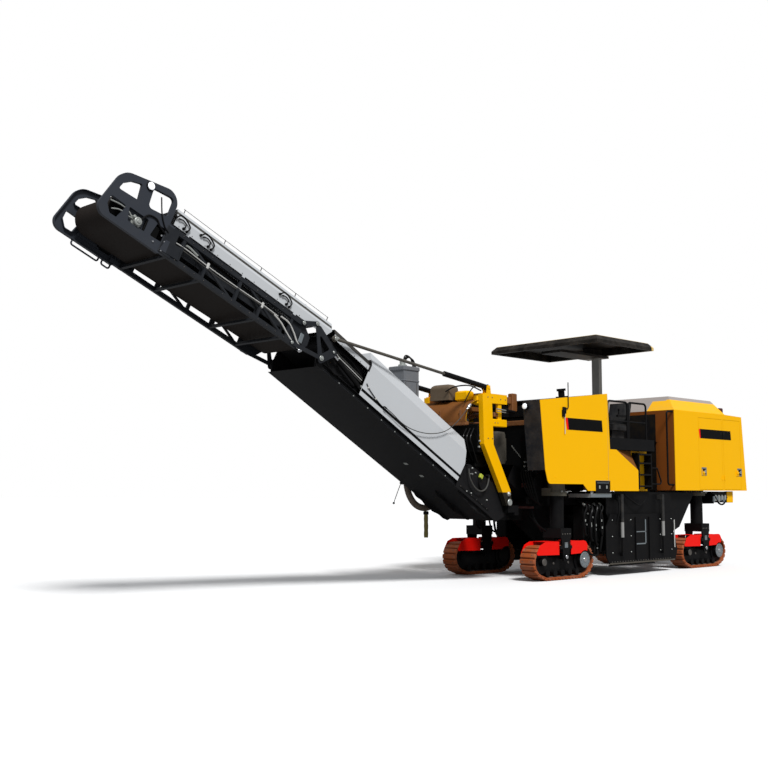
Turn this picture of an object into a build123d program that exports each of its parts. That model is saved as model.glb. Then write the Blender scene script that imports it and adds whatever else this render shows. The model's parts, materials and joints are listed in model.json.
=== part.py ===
"""Cold planer (road milling machine) on four steered crawlers, with a folding discharge conveyor.

Millimetres. X points forward to the conveyor's tip, Y to the machine's left and Z up.
Every place below is measured from the point on the ground midway between the two front
lifting columns. `save` moves each piece so that the finished origin lies on the ground
under the middle of the machine's overall length.
"""
import os
from math import atan2, cos, degrees, hypot, pi, radians, sin, tan

from build123d import *

# ---------------------------------------------------------------- driving sizes
machine_width = 2500
running_gap = 6          # room between pieces that move past each other
pin_gap = 0.3            # room round a pin, rod or seated piece
sheet = 5                # body sheet
panel = 8                # outer side panels and doors
door_gap = 5             # round each door

# undercarriage
gauge = 1852             # between the centre lines of left and right crawlers
wheelbase = 4707
wheel_offset = 578       # sprocket and idler from the column's axis
wheel_height = 327
wheel_radius = 242       # to the outside of the chain
chain_thickness = 30
pad_height = 40
pad_length = 78
pad_count = 40
track_width = 323
roller_radius = 55
roller_places = (-420, -210, 0, 210, 420)
low_wheel_x = 470        # where the chain leaves the ground
low_wheel_radius = 110
carrier_radius = 45
carrier_x = 280
web_y = 70               # half the width of the crawler's own frame
hub_radius = 145         # drive motor's end plate, at the rear
idler_hub_radius = 70
leg_radius = 125
column_radius = 150
flange_radius = 184
fork_top = 900
fork_plate = 30
fork_pin_radius = 45
fork_pin_height = 400
guard_top = 673
guard_sheet = 6
guard_start = 170        # covers' inner ends, from the column's axis
guard_clear = 10         # from the chain to the covers' sides
column_bottom = 1500
column_top = 2520
leg_top = 2150

# chassis
beam_inner = 580
beam_outer = 740
beam_bottom = 1300
beam_top = 1552
chassis_front = 350
chassis_rear = -5750
cross_member_x = (-5700, -3900)
cross_member_width = 150
mast_depth = 200
mast_top = 3100
mast_cross = 200         # depth of the mast's upper cross beam
lug_thickness = 60
swivel_x = 910           # vertical axis that the conveyor slews about
swivel_pin_radius = 50
tongue_z = 1030          # underside of the lower swivel's tongue
tongue_thickness = 80
yoke_z = (1130, 1290)    # lower swivel's yoke
yoke_x = (770, 885)
lashing_radius = 30
lashing_y = 660
lashing_z = 1390
lashing_reach = 100      # eye's centre beyond the beam's end
eye_thickness = 40

# body
panel_front_x = 840
panel_rear_x = -1140
panel_front_top = 3125
panel_rear_top = 3360
panel_bottom = 1680
panel_low_bottom = 1562
panel_front_corner = (715, 1915)
panel_foot_x = 640
deck_z = 2550
deck_sheet = 6
deck_depth = 220
deck_edge = 850          # inner edge of the access openings
deck_rear_x = -2690
recess_x = -2100         # front end of the ladder's recess in the side panels
recess_y = 1060
facet_x = -1400
facet_z = 1950
hood_cheek = 860         # inner walls of the hood's front corners
tool_box_x = (-1180, -740)
tool_box_z = (1510, 1740)
engine_front_x = -3410
engine_rear_x = -6250
engine_rear_top_x = -6100
engine_rear_top = 3170
engine_shoulder_x = -5400
engine_bottom = 1580
engine_side_top = 3190
roof_peak = 3500
roof_inset = 330
roof_slope = 330         # run of the roof's front slope
door_front_x = -4320
door_mid_x = -5280
door_rear_x = -6020
door_top = 3080
door_bottom = 1600
door_post = 60
knuckle_radius = 7
knuckle_length = 90
knuckle_heights = (1800, 2750)
hatch_low = 1755
hatch_high = 2945
hatch_half = 895
hatch_hinge_y = (-600, 600)
hatch_pin_radius = 4
hatch_pin_rise = 10      # hinge line above the hatch

# milling unit
drum_x = -2400
drum_z = 760
drum_radius = 400        # barrel
drum_wall = 60
drum_shaft_radius = 110
tool_radius = 500        # to the tools' tips
drum_length = 2000
tool_rows = 22
tools_per_turn = 3
housing_plate = 20
housing_front = -1650
housing_rear = -3150
cheek_thickness = 15
side_plate_thickness = 20
side_plate_bottom = 200
side_plate_top = 1130
side_plate_front = -1155
side_plate_rear = -3560
side_plate_travel = 250
side_cylinder_x = (-1620, -3000)
cylinder_radius = 32
side_rod_radius = 18

# discharge conveyor: s runs along a section from the base pivot, n stands square to it
slew_rest = 3.91         # degrees, at rest
lower_tilt = 28.63
upper_tilt = 22.96
boom_pivot_x = 1059
boom_pivot_z = 1356
boom_width = 1103
boom_sheet = 6
fold_s = 4918            # where the two sections' centre lines meet
boom_tip_s = 8920
lower_bottom = -397
rail_depth = 110
cover_rear = 1290        # lower end of the white cover
cover_front = 3950
cover_shoulder = 262     # where its sides start to lean in
cover_top = 490
cover_top_half = 430
hood_front = 4810        # upper end of the transfer hood
hood_bottom = 150
hood_top = 320
skirt_y = 450            # inner walls beside the belts
upper_bottom = -360
upper_chord_top = 67
chord_depth = 65
chord_width = 50
post_places = (702, 1722, 2742)   # from the fold, along the upper section
cross_places = (760, 1282, 2312, 2900)   # cross members under the belt
half_posts = ((1282, -97), (2312, -112))
diagonals = (((802, -300), (1572, 20)), ((1812, -300), (2612, 10)))
upper_cover_front = 2985
upper_cover_bottom = 90
upper_shoulder = 220
upper_cover_top = 350
upper_top_half = 490
cover_start_upper = -50
upper_cover_joint = 520
belt_width = 800
belt_thickness = 12
lower_pulley_radius = 110
lower_tail = (110, -180)
lower_head = (-60, 50)   # from the fold
upper_tail = (330, -130)
upper_head = (3622, -95)
upper_tail_radius = 110
head_pulley_radius = 200
roller_wall = 12
roller_half = 420
arm_clearance = 20       # between the conveyor's foot and the bracket's arms
arm_width = 90
arm_bottom = 1300
pivot_pin_radius = 45
lift_foot = (690, 3330)  # barrel's pivot, ahead of the swivel axis and above the ground
lift_eye_s = 4830
lift_eye_n = 120
lift_pin_radius = 25
lift_rod_start = 240     # the rod's inner end from the barrel's pivot, at rest
hinge_pin = (-8, -262)   # fold hinge, from the meeting point along the upper section
hinge_pin_radius = 35
rocker_outline = ((330, 232), (-300, -42), (0, -370))   # corners of the fold hinge's plates
rocker_top_pin = (263, 164)
rocker_window = ((170, 62), (-112, -63), (4, -195))
rocker_thickness = 14
link_pin = (499, 44)
crank_pin = (-190, -62)  # fold cylinder's pin, at rest
fold_foot = (-910, -175)
fold_pin_radius = 16

# canopy
canopy_front_x = -800
canopy_length = 1870
canopy_width = 2580
canopy_top = 4450
canopy_depth = 150
mast_x = -2580
mast_size = (120, 190)
mast_wall = 8
mast_bottom = 1900
mast_joint_z = 3480
canopy_travel = 650
cowl_centre = (1750, 2740)
cowl_radius = 370
extraction_x = (1735, 1990)
extraction_y = (-330, 90)
extraction_z = (3120, 3400)

# hoses and the cable, as points of their centre lines
cable_diameter = 14
cable_y = 600            # from the conveyor's middle
cable_route = (   # along and across the lower section
    (3375, -180), (3200, -180), (3035, -198), (2870, -190), (2700, -155), (2540, -103), (2385, -35), (2240, 48),
    (2105, 143), (1990, 248), (1900, 368), (1828, 495), (1768, 630), (1718, 765), (1680, 880),
)
foot_hose_diameter = 28
foot_hose_y = 620
foot_hose_route = ((1195, 5), (1140, -98), (1020, -175), (880, -212), (740, -195), (640, -110), (610, 10), (640, 120))
dust_hose_diameter = 115
dust_hose_y = -780
dust_hose_route = (   # in X and Z, with the bracket straight ahead
    (1600, 2200), (1786, 2200), (1955, 2121), (2074, 1979), (2122, 1799), (2106, 1613), (2028, 1444), (1896, 1312),
    (1721, 1248), (1535, 1248), (1366, 1327), (1247, 1469), (1199, 1649), (1199, 1760),
)
sleeve_diameter = 92
sleeve_x = 1590
sleeve_z = (720, 1190)

# ---------------------------------------------------------------- worked out from the above
half_gauge = gauge / 2
half_width = machine_width / 2
housing_wall_y = drum_length / 2 + 40
cheek_y = housing_wall_y + 60       # outer face of the housing's outer cheeks
side_plate_y = cheek_y + 60         # outer face of the sliding side plates
half_boom = boom_width / 2
arm_y = half_boom + arm_clearance
arm_outer = arm_y + arm_width
lift_y = arm_y + arm_width / 2
rocker_y = half_boom + 1
fold_y = rocker_y - 26
rail_top = lower_bottom + rail_depth
kink = lower_tilt - upper_tilt
hatch_slope = (engine_rear_x - engine_rear_top_x) / (engine_rear_top - engine_bottom)
column_places = {
    "front_left": (0, half_gauge),
    "front_right": (0, -half_gauge),
    "rear_left": (-wheelbase, half_gauge),
    "rear_right": (-wheelbase, -half_gauge),
}
bracket_place = Pos(swivel_x, 0, 0) * Rot(0, 0, slew_rest)
in_bracket = bracket_place * Pos(-swivel_x, 0, 0)
boom_place = bracket_place * Pos(boom_pivot_x - swivel_x, 0, boom_pivot_z)
lower_place = boom_place * Rot(0, -lower_tilt, 0)
fold_place = lower_place * Pos(fold_s, 0, 0)
upper_place = fold_place * Rot(0, kink, 0)
tip_place = upper_place * Pos(boom_tip_s - fold_s, 0, 0)
origin_x = (tip_place.position.X + 60 + engine_rear_x) / 2


# ---------------------------------------------------------------- shapes used many times
def block(x_span, y_span, z_span):
    """Box between two X, two Y and two Z values."""
    (x0, x1), (y0, y1), (z0, z1) = x_span, y_span, z_span
    return Pos((x0 + x1) / 2, (y0 + y1) / 2, (z0 + z1) / 2) * Box(x1 - x0, y1 - y0, z1 - z0)


def side_plate(points, y0, y1, radius=0):
    """Plate whose outline lies in X and Z, between two Y values."""
    outline = Polygon(*points, align=None)
    if radius:
        outline = fillet(outline.vertices(), radius)
    return extrude(Plane.XZ.offset(-y1) * outline, amount=y1 - y0, dir=(0, -1, 0))


def cross_plate(points, x0, x1, radius=0):
    """Plate whose outline lies in Y and Z, between two X values."""
    outline = Polygon(*points, align=None)
    if radius:
        outline = fillet(outline.vertices(), radius)
    return extrude(Plane.YZ.offset(x0) * outline, amount=x1 - x0, dir=(1, 0, 0))


def rod(start, end, radius):
    """Round bar between two points."""
    start, end = Vector(*start), Vector(*end)
    return extrude(Plane(origin=start, z_dir=end - start) * Circle(radius), amount=(end - start).length)


def pipe(start, end, outer, inner):
    """Round tube between two points."""
    start, end = Vector(*start), Vector(*end)
    ring = Circle(outer) - Circle(inner)
    return extrude(Plane(origin=start, z_dir=end - start) * ring, amount=(end - start).length)


def cross_rod(x, z, radius, y0, y1):
    """Round bar along Y."""
    return rod((x, y0, z), (x, y1, z), radius)


def strut(start, end, y, width, depth):
    """Straight member between two (x, z) points, centred on y."""
    (x0, z0), (x1, z1) = start, end
    length = hypot(x1 - x0, z1 - z0)
    turn = degrees(atan2(z1 - z0, x1 - x0))
    return Pos((x0 + x1) / 2, y, (z0 + z1) / 2) * Rot(0, -turn, 0) * Box(length, width, depth)


def bent_tube(points, radius, bend):
    """Round bar along a route of straight runs joined by arcs."""
    route = FilletPolyline(*points, radius=bend)
    return sweep(Plane(origin=route @ 0, z_dir=route % 0) * Circle(radius), path=route)


def mirrored(shape):
    """The same shape on the machine's other side."""
    return mirror(shape, about=Plane.XZ)


def tube_roller(x, z, radius, wall, half_length, shaft_radius, shaft_reach):
    """Hollow roller with end discs on a through shaft, along Y."""
    shell = cross_rod(x, z, radius, -half_length, half_length) - cross_rod(x, z, radius - wall, 15 - half_length, half_length - 15)
    return fused(shell, cross_rod(x, z, shaft_radius, -shaft_reach, shaft_reach))


def both_sides(shape):
    """The shape and its mirror image."""
    return [shape, mirrored(shape)]


class Loop:
    """Closed path round circles, given anticlockwise as (x, z, radius)."""

    def __init__(self, circles):
        self.pieces = []
        count = len(circles)
        normals = []
        for i in range(count):
            (x0, z0, r0), (x1, z1, r1) = circles[i], circles[(i + 1) % count]
            span = hypot(x1 - x0, z1 - z0)
            lean = (r0 - r1) / span
            along = ((x1 - x0) / span, (z1 - z0) / span)
            across = (along[1], -along[0])
            flat = (1 - lean * lean) ** 0.5
            normals.append((across[0] * flat + along[0] * lean, across[1] * flat + along[1] * lean))
        for i in range(count):
            x, z, r = circles[i]
            into, out = normals[i - 1], normals[i]
            start = atan2(into[1], into[0])
            turn = (atan2(out[1], out[0]) - start) % (2 * pi)
            self.pieces.append(("arc", r * turn, (x, z, r, start, turn)))
            x1, z1, r1 = circles[(i + 1) % count]
            p = (x + r * out[0], z + r * out[1])
            q = (x1 + r1 * out[0], z1 + r1 * out[1])
            self.pieces.append(("line", hypot(q[0] - p[0], q[1] - p[1]), (p, q, out)))
        self.length = sum(piece[1] for piece in self.pieces)

    def at(self, distance, offset=0):
        """Point at a distance along the path, moved out by offset."""
        left = distance % self.length
        for kind, length, data in self.pieces:
            if left <= length:
                break
            left -= length
        if kind == "arc":
            x, z, r, start, turn = data
            angle = start + left / r
            return x + (r + offset) * cos(angle), z + (r + offset) * sin(angle)
        (px, pz), (qx, qz), (nx, nz) = data
        share = left / length
        return px + (qx - px) * share + nx * offset, pz + (qz - pz) * share + nz * offset

    def edges(self, offset=0):
        """Lines and arcs of the path, moved out by offset, in X and Z."""
        made = []
        for kind, length, data in self.pieces:
            if length < 1e-6:
                continue
            if kind == "arc":
                x, z, r, start, turn = data
                r += offset
                ends = [start, start + turn / 2, start + turn]
                made.append(ThreePointArc(*[(x + r * cos(a), z + r * sin(a)) for a in ends]))
            else:
                p, q, (nx, nz) = data
                shift = (nx * offset, nz * offset)
                made.append(Line((p[0] + shift[0], p[1] + shift[1]), (q[0] + shift[0], q[1] + shift[1])))
        return made

    def face(self, offset=0):
        return make_face(self.edges(offset))


def belt(circles, thickness, y0, y1):
    """Endless belt round pulleys, between two Y values."""
    path = Loop(circles)
    band = path.face(thickness) - path.face(pin_gap)
    return extrude(Plane.XZ.offset(-y1) * band, amount=y1 - y0, dir=(0, -1, 0))


saved = {}


def save(name, *shapes):
    """Write one piece, moved to the finished origin."""
    solids = []
    for shape in shapes:
        for item in shape if isinstance(shape, (list, tuple)) else [shape]:
            solids.extend(item.solids())
    moved = [Pos(-origin_x, 0, 0) * solid for solid in solids]
    piece = moved[0] if len(moved) == 1 else Compound(children=moved)
    piece.label = name
    saved[name] = piece
    os.makedirs("parts", exist_ok=True)
    export_step(piece, f"parts/{name}.step")


def fused(*shapes):
    """One solid from pieces that are welded together."""
    flat = []
    for shape in shapes:
        flat.extend(shape if isinstance(shape, (list, tuple)) else [shape])
    return flat[0].fuse(*flat[1:]) if len(flat) > 1 else flat[0]


# ---------------------------------------------------------------- crawlers
def chain_circles(radius_change=0):
    """Wheels that the chain runs round, anticlockwise from the rear of the ground run."""
    low_z = pad_height + low_wheel_radius
    low = low_wheel_radius + radius_change
    big = wheel_radius + radius_change
    return [
        (-low_wheel_x, low_z, low),
        (low_wheel_x, low_z, low),
        (wheel_offset, wheel_height, big),
        (-wheel_offset, wheel_height, big),
    ]


def make_track():
    """Chain with its pads, as one closed loop."""
    path = Loop(chain_circles())
    pitch = path.length / pad_count
    pad_profile = ((-pad_length / 2, 0), (5 - pad_length / 2, pad_height), (pad_length / 2 - 5, pad_height), (pad_length / 2, 0))
    points = []
    for number in range(pad_count):
        middle = pitch * (number + 0.5)
        points += [path.at(middle + along, height) for along, height in pad_profile]
    ring = Polygon(*points, align=None) - Loop(chain_circles(-chain_thickness)).face()
    half = track_width / 2
    return extrude(Plane.XZ.offset(-half) * ring, amount=track_width, dir=(0, -1, 0))


def make_crawler_frame():
    """Leg, fork, pin, side frames, sprocket, idler and rollers, with the outer side at +Y."""
    inner_radius = wheel_radius - chain_thickness - pin_gap
    floor = pad_height + chain_thickness + pin_gap
    ceiling = wheel_height + wheel_radius - chain_thickness - pin_gap
    plate_y = track_width / 2 + guard_clear
    web = [(-480, 150), (480, 150), (560, 300), (500, 400), (-500, 400), (-560, 300)]
    arm = [(-150, fork_top - 60), (150, fork_top - 60), (110, 620), (75, 330), (-75, 330), (-110, 620)]
    lug = [(-guard_start + pin_gap, 600), (-60, 600), (-60, 540), (-guard_start + pin_gap, 540)]
    pieces = [side_plate(web, -web_y, web_y)]
    for x, hub in ((wheel_offset, idler_hub_radius), (-wheel_offset, hub_radius)):
        pieces.append(cross_rod(x, wheel_height, inner_radius, -web_y - 20, web_y + 20))
        pieces.append(cross_rod(x, wheel_height, hub, -web_y - 40, track_width / 2 + 8))
    for x in roller_places:
        pieces.append(cross_rod(x, floor + roller_radius, roller_radius, -web_y - 50, web_y + 50))
    for x in (-carrier_x, carrier_x):
        pieces.append(cross_rod(x, ceiling - carrier_radius, carrier_radius, -web_y - 30, web_y + 30))
        pieces.append(block((x - 20, x + 20), (-30, 30), (390, ceiling - carrier_radius)))
    for side in (1, -1):
        y_span = sorted((side * plate_y, side * (plate_y + fork_plate)))
        pieces.append(side_plate(arm, *y_span))
        pieces.append(side_plate(lug, *y_span))
        pieces.append(side_plate([(-x, z) for x, z in lug], *y_span))
    reach = plate_y + fork_plate
    pieces.append(block((-150, 150), (-reach, reach), (guard_top + 60, fork_top)))
    pieces.append(cross_rod(0, fork_pin_height, fork_pin_radius, -reach - 12, reach + 12))
    pieces.append(rod((0, 0, fork_top), (0, 0, leg_top), leg_radius))
    return fused(*pieces)


def make_guard(outline, hub=None):
    """One red cover: a top strip beside the fork and a rounded skirt on each side of the chain."""
    reach = track_width / 2 + guard_clear
    shell = side_plate(outline, -reach - guard_sheet, reach + guard_sheet)
    inside = block((-1000, 1000), (-reach, reach), (0, guard_top - guard_sheet))
    end = 470 if hub is None else -400
    beyond = block(sorted((end, 1000 if hub is None else -1000)), (-reach, reach), (0, 1000))
    shell = shell - inside - beyond
    if hub:
        shell = shell - cross_rod(hub[0], hub[1], hub_radius + 25, -reach - 50, reach + 50)
    return max(shell.solids(), key=lambda solid: solid.volume)


def make_guards():
    """Covers in front of and behind the fork."""
    front = [(guard_start, guard_top), (560, guard_top), (700, 620), (790, 480), (770, 452), (600, 448), (guard_start, 440)]
    rear = [(-guard_start, 440), (-430, 448), (-640, 448), (-655, 600), (-610, 655), (-550, guard_top), (-guard_start, guard_top)]
    return [make_guard(front), make_guard(rear, (-wheel_offset, wheel_height))]


def make_crawlers():
    track, frame, guards = make_track(), make_crawler_frame(), make_guards()
    for name, (x, y) in column_places.items():
        turned = [frame, *guards]
        if y < 0:
            turned = [mirrored(piece) for piece in turned]
        place = Pos(x, y, 0)
        save(f"crawler_frame_{name}", place * turned[0])
        save(f"crawler_track_{name}", place * track)
        save(f"crawler_guards_{name}", [place * guard for guard in turned[1:]])


# ---------------------------------------------------------------- chassis
def make_columns():
    """Tubes that the legs slide in, with their flanges and the brackets on the beams."""
    columns = []
    for x, y in column_places.values():
        side = 1 if y > 0 else -1
        bore = leg_radius + pin_gap
        tube = pipe((x, y, column_bottom), (x, y, column_top), column_radius, bore)
        flange = pipe((x, y, column_bottom - 30), (x, y, column_bottom + 40), flange_radius, bore)
        cap = rod((x, y, column_top), (x, y, column_top + 20), column_radius)
        y_span = sorted((side * beam_outer, side * half_gauge))
        bracket = block((x - 190, x + 190), y_span, (column_bottom - 30, column_bottom + 110))
        bracket = bracket - rod((x, y, column_bottom - 50), (x, y, column_bottom + 200), column_radius - 1)
        columns.append(fused(tube, flange, cap, bracket))
    save("lifting_columns", columns)


def lashing_eye(beam_end, direction, side):
    """Holed plate on the end of a beam."""
    x_span = sorted((beam_end, beam_end + direction * (lashing_reach + 60)))
    y = side * lashing_y
    plate = block(x_span, (y - eye_thickness / 2, y + eye_thickness / 2), (lashing_z - 60, lashing_z + 60))
    return plate - cross_rod(beam_end + direction * lashing_reach, lashing_z, lashing_radius, y - 30, y + 30)


def make_chassis():
    """Box beams with the mast's legs, and the cross members, mast beam and swivel tongue between them."""
    beams = []
    for side in (1, -1):
        y_span = sorted((side * beam_inner, side * beam_outer))
        beams.append(fused(
            block((chassis_rear, chassis_front), y_span, (beam_bottom, beam_top)),
            block((chassis_front - mast_depth, chassis_front), y_span, (beam_top, mast_top)),
            lashing_eye(chassis_rear, -1, side), lashing_eye(chassis_front, 1, side)))
    save("chassis_beams", beams)
    front_x = (chassis_front - mast_depth, chassis_front)
    foot_top = beam_bottom - 60
    foot = fused(
        block(front_x, (-beam_outer, beam_outer), (foot_top, beam_bottom)),
        block((chassis_front - 100, chassis_front), (-330, 330), (tongue_z, foot_top)),
        block((chassis_front - 100, swivel_x + 100), (-130, 130), (tongue_z, tongue_z + tongue_thickness)),
        rod((swivel_x, 0, tongue_z), (swivel_x, 0, yoke_z[1] + 20), swivel_pin_radius))
    lugs = [
        block((chassis_front, swivel_x + 80), (-130, 130), (z - lug_thickness, z))
        for z in (mast_top, mast_top - mast_cross + lug_thickness)
    ]
    upper = fused(
        block(front_x, (-beam_inner, beam_inner), (mast_top - mast_cross, mast_top)), *lugs,
        rod((swivel_x, 0, mast_top - mast_cross), (swivel_x, 0, mast_top + 30), swivel_pin_radius))
    crossing = [
        block((x, x + cross_member_width), (-beam_inner, beam_inner), (beam_bottom, beam_top)) for x in cross_member_x
    ]
    save("chassis_cross_members", foot, upper, crossing)


def make_primary_conveyor():
    """Collecting conveyor from the drum up to the discharge conveyor's tail."""
    tail, head = (-1480, 480), (670, 1888)
    body = strut(tail, head, 0, 860, 340)
    stretch = strut((tail[0] - 200, tail[1] - 131), (head[0] + 200, head[1] + 131), 0, 848, 328)
    lugs = [block((-200, -100), sorted((side * 425, side * beam_inner)), (1330, 1400)) for side in (1, -1)]
    save("primary_conveyor", fused(body - stretch, *lugs))


# ---------------------------------------------------------------- milling unit
def make_drum():
    """Barrel with its tools in two helices that run in towards the middle."""
    tools = []
    spacing = (drum_length - 100) / (tool_rows - 1)
    for row in range(tool_rows):
        y = 50 - drum_length / 2 + row * spacing
        lead = 360 / tools_per_turn * abs(y) / (drum_length / 2) + (0 if y > 0 else 180 / tools_per_turn)
        for turn in range(tools_per_turn):
            place = Pos(drum_x, y, drum_z) * Rot(0, lead + turn * 360 / tools_per_turn, 0)
            holder = place * Pos(0, 0, drum_radius + 25) * Rot(0, 30, 0) * Box(70, 40, 80)
            point = place * Pos(20, 0, drum_radius + 50) * Rot(0, 30, 0) * extrude(Rectangle(30, 30), amount=48, taper=14)
            tools += [holder, point]
    barrel = tube_roller(drum_x, drum_z, drum_radius, drum_wall, drum_length / 2, drum_shaft_radius, drum_length / 2 + 60)
    save("milling_drum", fused(barrel, *tools))


def make_drum_housing():
    """Hood over the drum with its end walls, open below, and the outer cheeks on each side."""
    outline = [
        (housing_rear, 420), (housing_rear, 1080), (-2900, beam_bottom), (-1800, beam_bottom),
        (housing_front, 1100), (housing_front, 420),
    ]
    shell = side_plate(outline, -housing_wall_y, housing_wall_y)
    inner_top = drum_z + tool_radius + 20
    hollow = [
        (housing_rear + housing_plate, 300), (housing_rear + housing_plate, 1060), (-2880, inner_top),
        (-1820, inner_top), (housing_front - housing_plate, 1080), (housing_front - housing_plate, 300),
    ]
    inner_y = housing_wall_y - housing_plate
    shell = shell - side_plate(hollow, -inner_y, inner_y)
    bore = cross_rod(drum_x, drum_z, drum_shaft_radius + pin_gap, -housing_wall_y - 5, housing_wall_y + 5)
    mouth = block((housing_front - 50, housing_front + 50), (-400, 400), (430, 900))
    cheek = [
        (-1250, 1150), (-1250, 1540), (-4340, 1540), (-3750, 850), (-3300, 700), (-1500, 700),
    ]
    cheeks = []
    for side in (1, -1):
        plate = side_plate(cheek, *sorted((side * (cheek_y - cheek_thickness), side * cheek_y)))
        for x in side_cylinder_x:
            plate = plate - block((x - 45, x + 45), sorted((side * 1000, side * 1200)), (1385, 1510))
        spacers = [
            block(x_span, sorted((side * housing_wall_y, side * (cheek_y - cheek_thickness))), (1000, 1060))
            for x_span in ((-3100, -2900), (-1900, -1700))
        ]
        plate = plate - cross_rod(drum_x, drum_z, drum_shaft_radius + 30, *sorted((side * 1000, side * 1200)))
        cheeks += [plate, *spacers]
    save("drum_housing", fused(shell - bore - mouth, *cheeks))


def make_side_plates():
    """Sliding plates at the drum's ends, their skids and the cylinders that lift them."""
    y1 = side_plate_y
    y0 = y1 - side_plate_thickness
    outline = [
        (side_plate_front, side_plate_bottom + 160), (side_plate_front - 120, side_plate_bottom),
        (-2700, side_plate_bottom), (-3480, side_plate_bottom + 20), (side_plate_rear, 420),
        (-3300, side_plate_top), (-1300, side_plate_top), (side_plate_front, 900),
    ]
    plate = fillet(side_plate(outline, y0, y1).edges().filter_by(Axis.Y).sort_by(Axis.X)[-2:], 60)
    skid = block((-2700, side_plate_front - 120), (y0 - 30, y1 + 25), (side_plate_bottom - 20, side_plate_bottom))
    ribs = [block((x - 10, x + 10), (y1, y1 + 20), (side_plate_bottom + 60, side_plate_top - 60)) for x in (-2100, -2560)]
    cylinder_y = y1 + cylinder_radius + running_gap
    lugs = [block((x - 40, x + 40), (y1, cylinder_y + 25), (360, 420)) for x in side_cylinder_x]
    rods = [rod((x, cylinder_y, 420), (x, cylinder_y, 1100), side_rod_radius) for x in side_cylinder_x]
    left = fused(plate, skid, *ribs, *lugs, *rods)
    save("side_plate_left", left)
    save("side_plate_right", mirrored(left))
    arms = []
    for x in side_cylinder_x:
        barrel = pipe((x, cylinder_y, 700), (x, cylinder_y, 1500), cylinder_radius, side_rod_radius + pin_gap)
        arm = block((x - 30, x + 30), (beam_outer, cylinder_y - side_rod_radius - 2), (1400, 1500))
        arms.append(fused(barrel, arm))
    save("side_plate_cylinders", [piece for arm in arms for piece in both_sides(arm)])


def make_moldboard():
    blade_x = (housing_rear - 50, housing_rear - pin_gap)
    save("moldboard", block(blade_x, (-drum_length / 2, drum_length / 2), (side_plate_bottom + 60, 1000)))


# ---------------------------------------------------------------- body
def make_side_panels():
    """Pressed side panels with a recess for the ladder and a notch for the tool box."""
    skirt_top = deck_z - deck_depth
    outline = [
        (panel_front_x, panel_front_top), panel_front_corner, (panel_foot_x, panel_bottom), (-360, panel_bottom),
        (-500, panel_low_bottom), (recess_x, panel_low_bottom), (recess_x, facet_z), (facet_x, skirt_top),
        (panel_rear_x - 60, skirt_top), (panel_rear_x, panel_rear_top),
    ]
    skin = side_plate(outline, half_width - panel, half_width)
    corner = skin.edges().filter_by(Axis.Y).sort_by_distance((panel_foot_x, half_width, panel_bottom))[:1]
    skin = fillet(corner, 90)
    notch = block((tool_box_x[0] - 10, tool_box_x[1] + 10), (half_width - 50, half_width + 10), (1500, tool_box_z[1] + 10))
    inner = block((deck_rear_x, recess_x - panel), (recess_y - panel, recess_y), (panel_low_bottom, skirt_top))
    jog = block((recess_x - panel, recess_x), (recess_y - panel, half_width), (panel_low_bottom, facet_z))
    knee = block((recess_x - panel, recess_x), (recess_y - panel, half_width), (facet_z - 20, facet_z + 4))
    lip = block((deck_rear_x, deck_rear_x + panel), (recess_y - 60, recess_y), (panel_low_bottom, skirt_top))
    wide = Polygon((half_width - 2, facet_z), (recess_y - panel, skirt_top), (recess_y - panel, facet_z), align=None)
    narrow = Polygon((half_width - 2, skirt_top - 10), (half_width - panel, skirt_top), (half_width - panel, skirt_top - 10), align=None)
    wedge = loft([Plane.YZ.offset(recess_x - panel) * wide, Plane.YZ.offset(facet_x) * narrow], ruled=True)
    facet = wedge - Pos(panel, -panel, -panel / 2) * wedge
    ribs = [block((x - 3, x + 3), (beam_outer, half_width - panel), (panel_bottom + 20, 2300)) for x in (-300, -1215)]
    left = fused(skin - notch, inner, jog, knee, lip, facet, *ribs)
    save("side_panels", both_sides(left))


def make_tanks_and_boxes():
    """Front tank, tool boxes on brackets outside the beams, and open-topped trays behind the rear columns."""
    box = block(tool_box_x, (1050, half_width - 3), tool_box_z)
    bracket = block((-1235, -600), (beam_outer, half_width - 20), (1440, tool_box_z[0]))
    left = fused(box, bracket)
    outer = block((chassis_rear - 60, -wheelbase - 273), (beam_outer, 1150), (1330, 1560))
    tray = outer - block((chassis_rear - 54, -wheelbase - 279), (beam_outer + 6, 1144), (1336, 1570))
    tank = block((-1050, 50), (-700, 700), (1760, 2900)) - block((-1044, 44), (-694, 694), (1766, 2894))
    feet = [
        block((x, x + 100), sorted((side * 600, side * 700)), (beam_top, 1760)) for x in (-1000, -100) for side in (1, -1)
    ]
    save("tanks_and_boxes", fused(tank, *feet), both_sides(left), both_sides(tray))


def make_front_hood():
    inner = half_width - panel
    top = [
        (panel_front_x, panel_front_top - sheet), (panel_front_x, panel_front_top),
        (panel_rear_x, panel_rear_top), (panel_rear_x, panel_rear_top - sheet),
    ]
    slot = block((chassis_front - mast_depth - 10, 1000), (-hood_cheek, hood_cheek), (3000, 3400))
    roof = side_plate(top, -inner, inner) - slot
    back = block((panel_rear_x, panel_rear_x + sheet), (-inner, inner), (deck_z, panel_rear_top - 1))
    faces = []
    for side in (1, -1):
        face = [
            (panel_front_x - sheet, panel_front_top - 2), (panel_front_x, panel_front_top - 2),
            panel_front_corner, (panel_front_corner[0] - sheet, panel_front_corner[1]),
        ]
        faces.append(side_plate(face, *sorted((side * hood_cheek, side * inner))))
        cheek = [
            (panel_front_x - 2, panel_front_top - 2), (panel_front_corner[0] - 3, panel_front_corner[1]),
            (360, panel_front_corner[1]), (360, 3180),
        ]
        faces.append(side_plate(cheek, *sorted((side * hood_cheek, side * (hood_cheek + sheet)))))
    save("front_hood", fused(roof, back, *faces))


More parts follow.
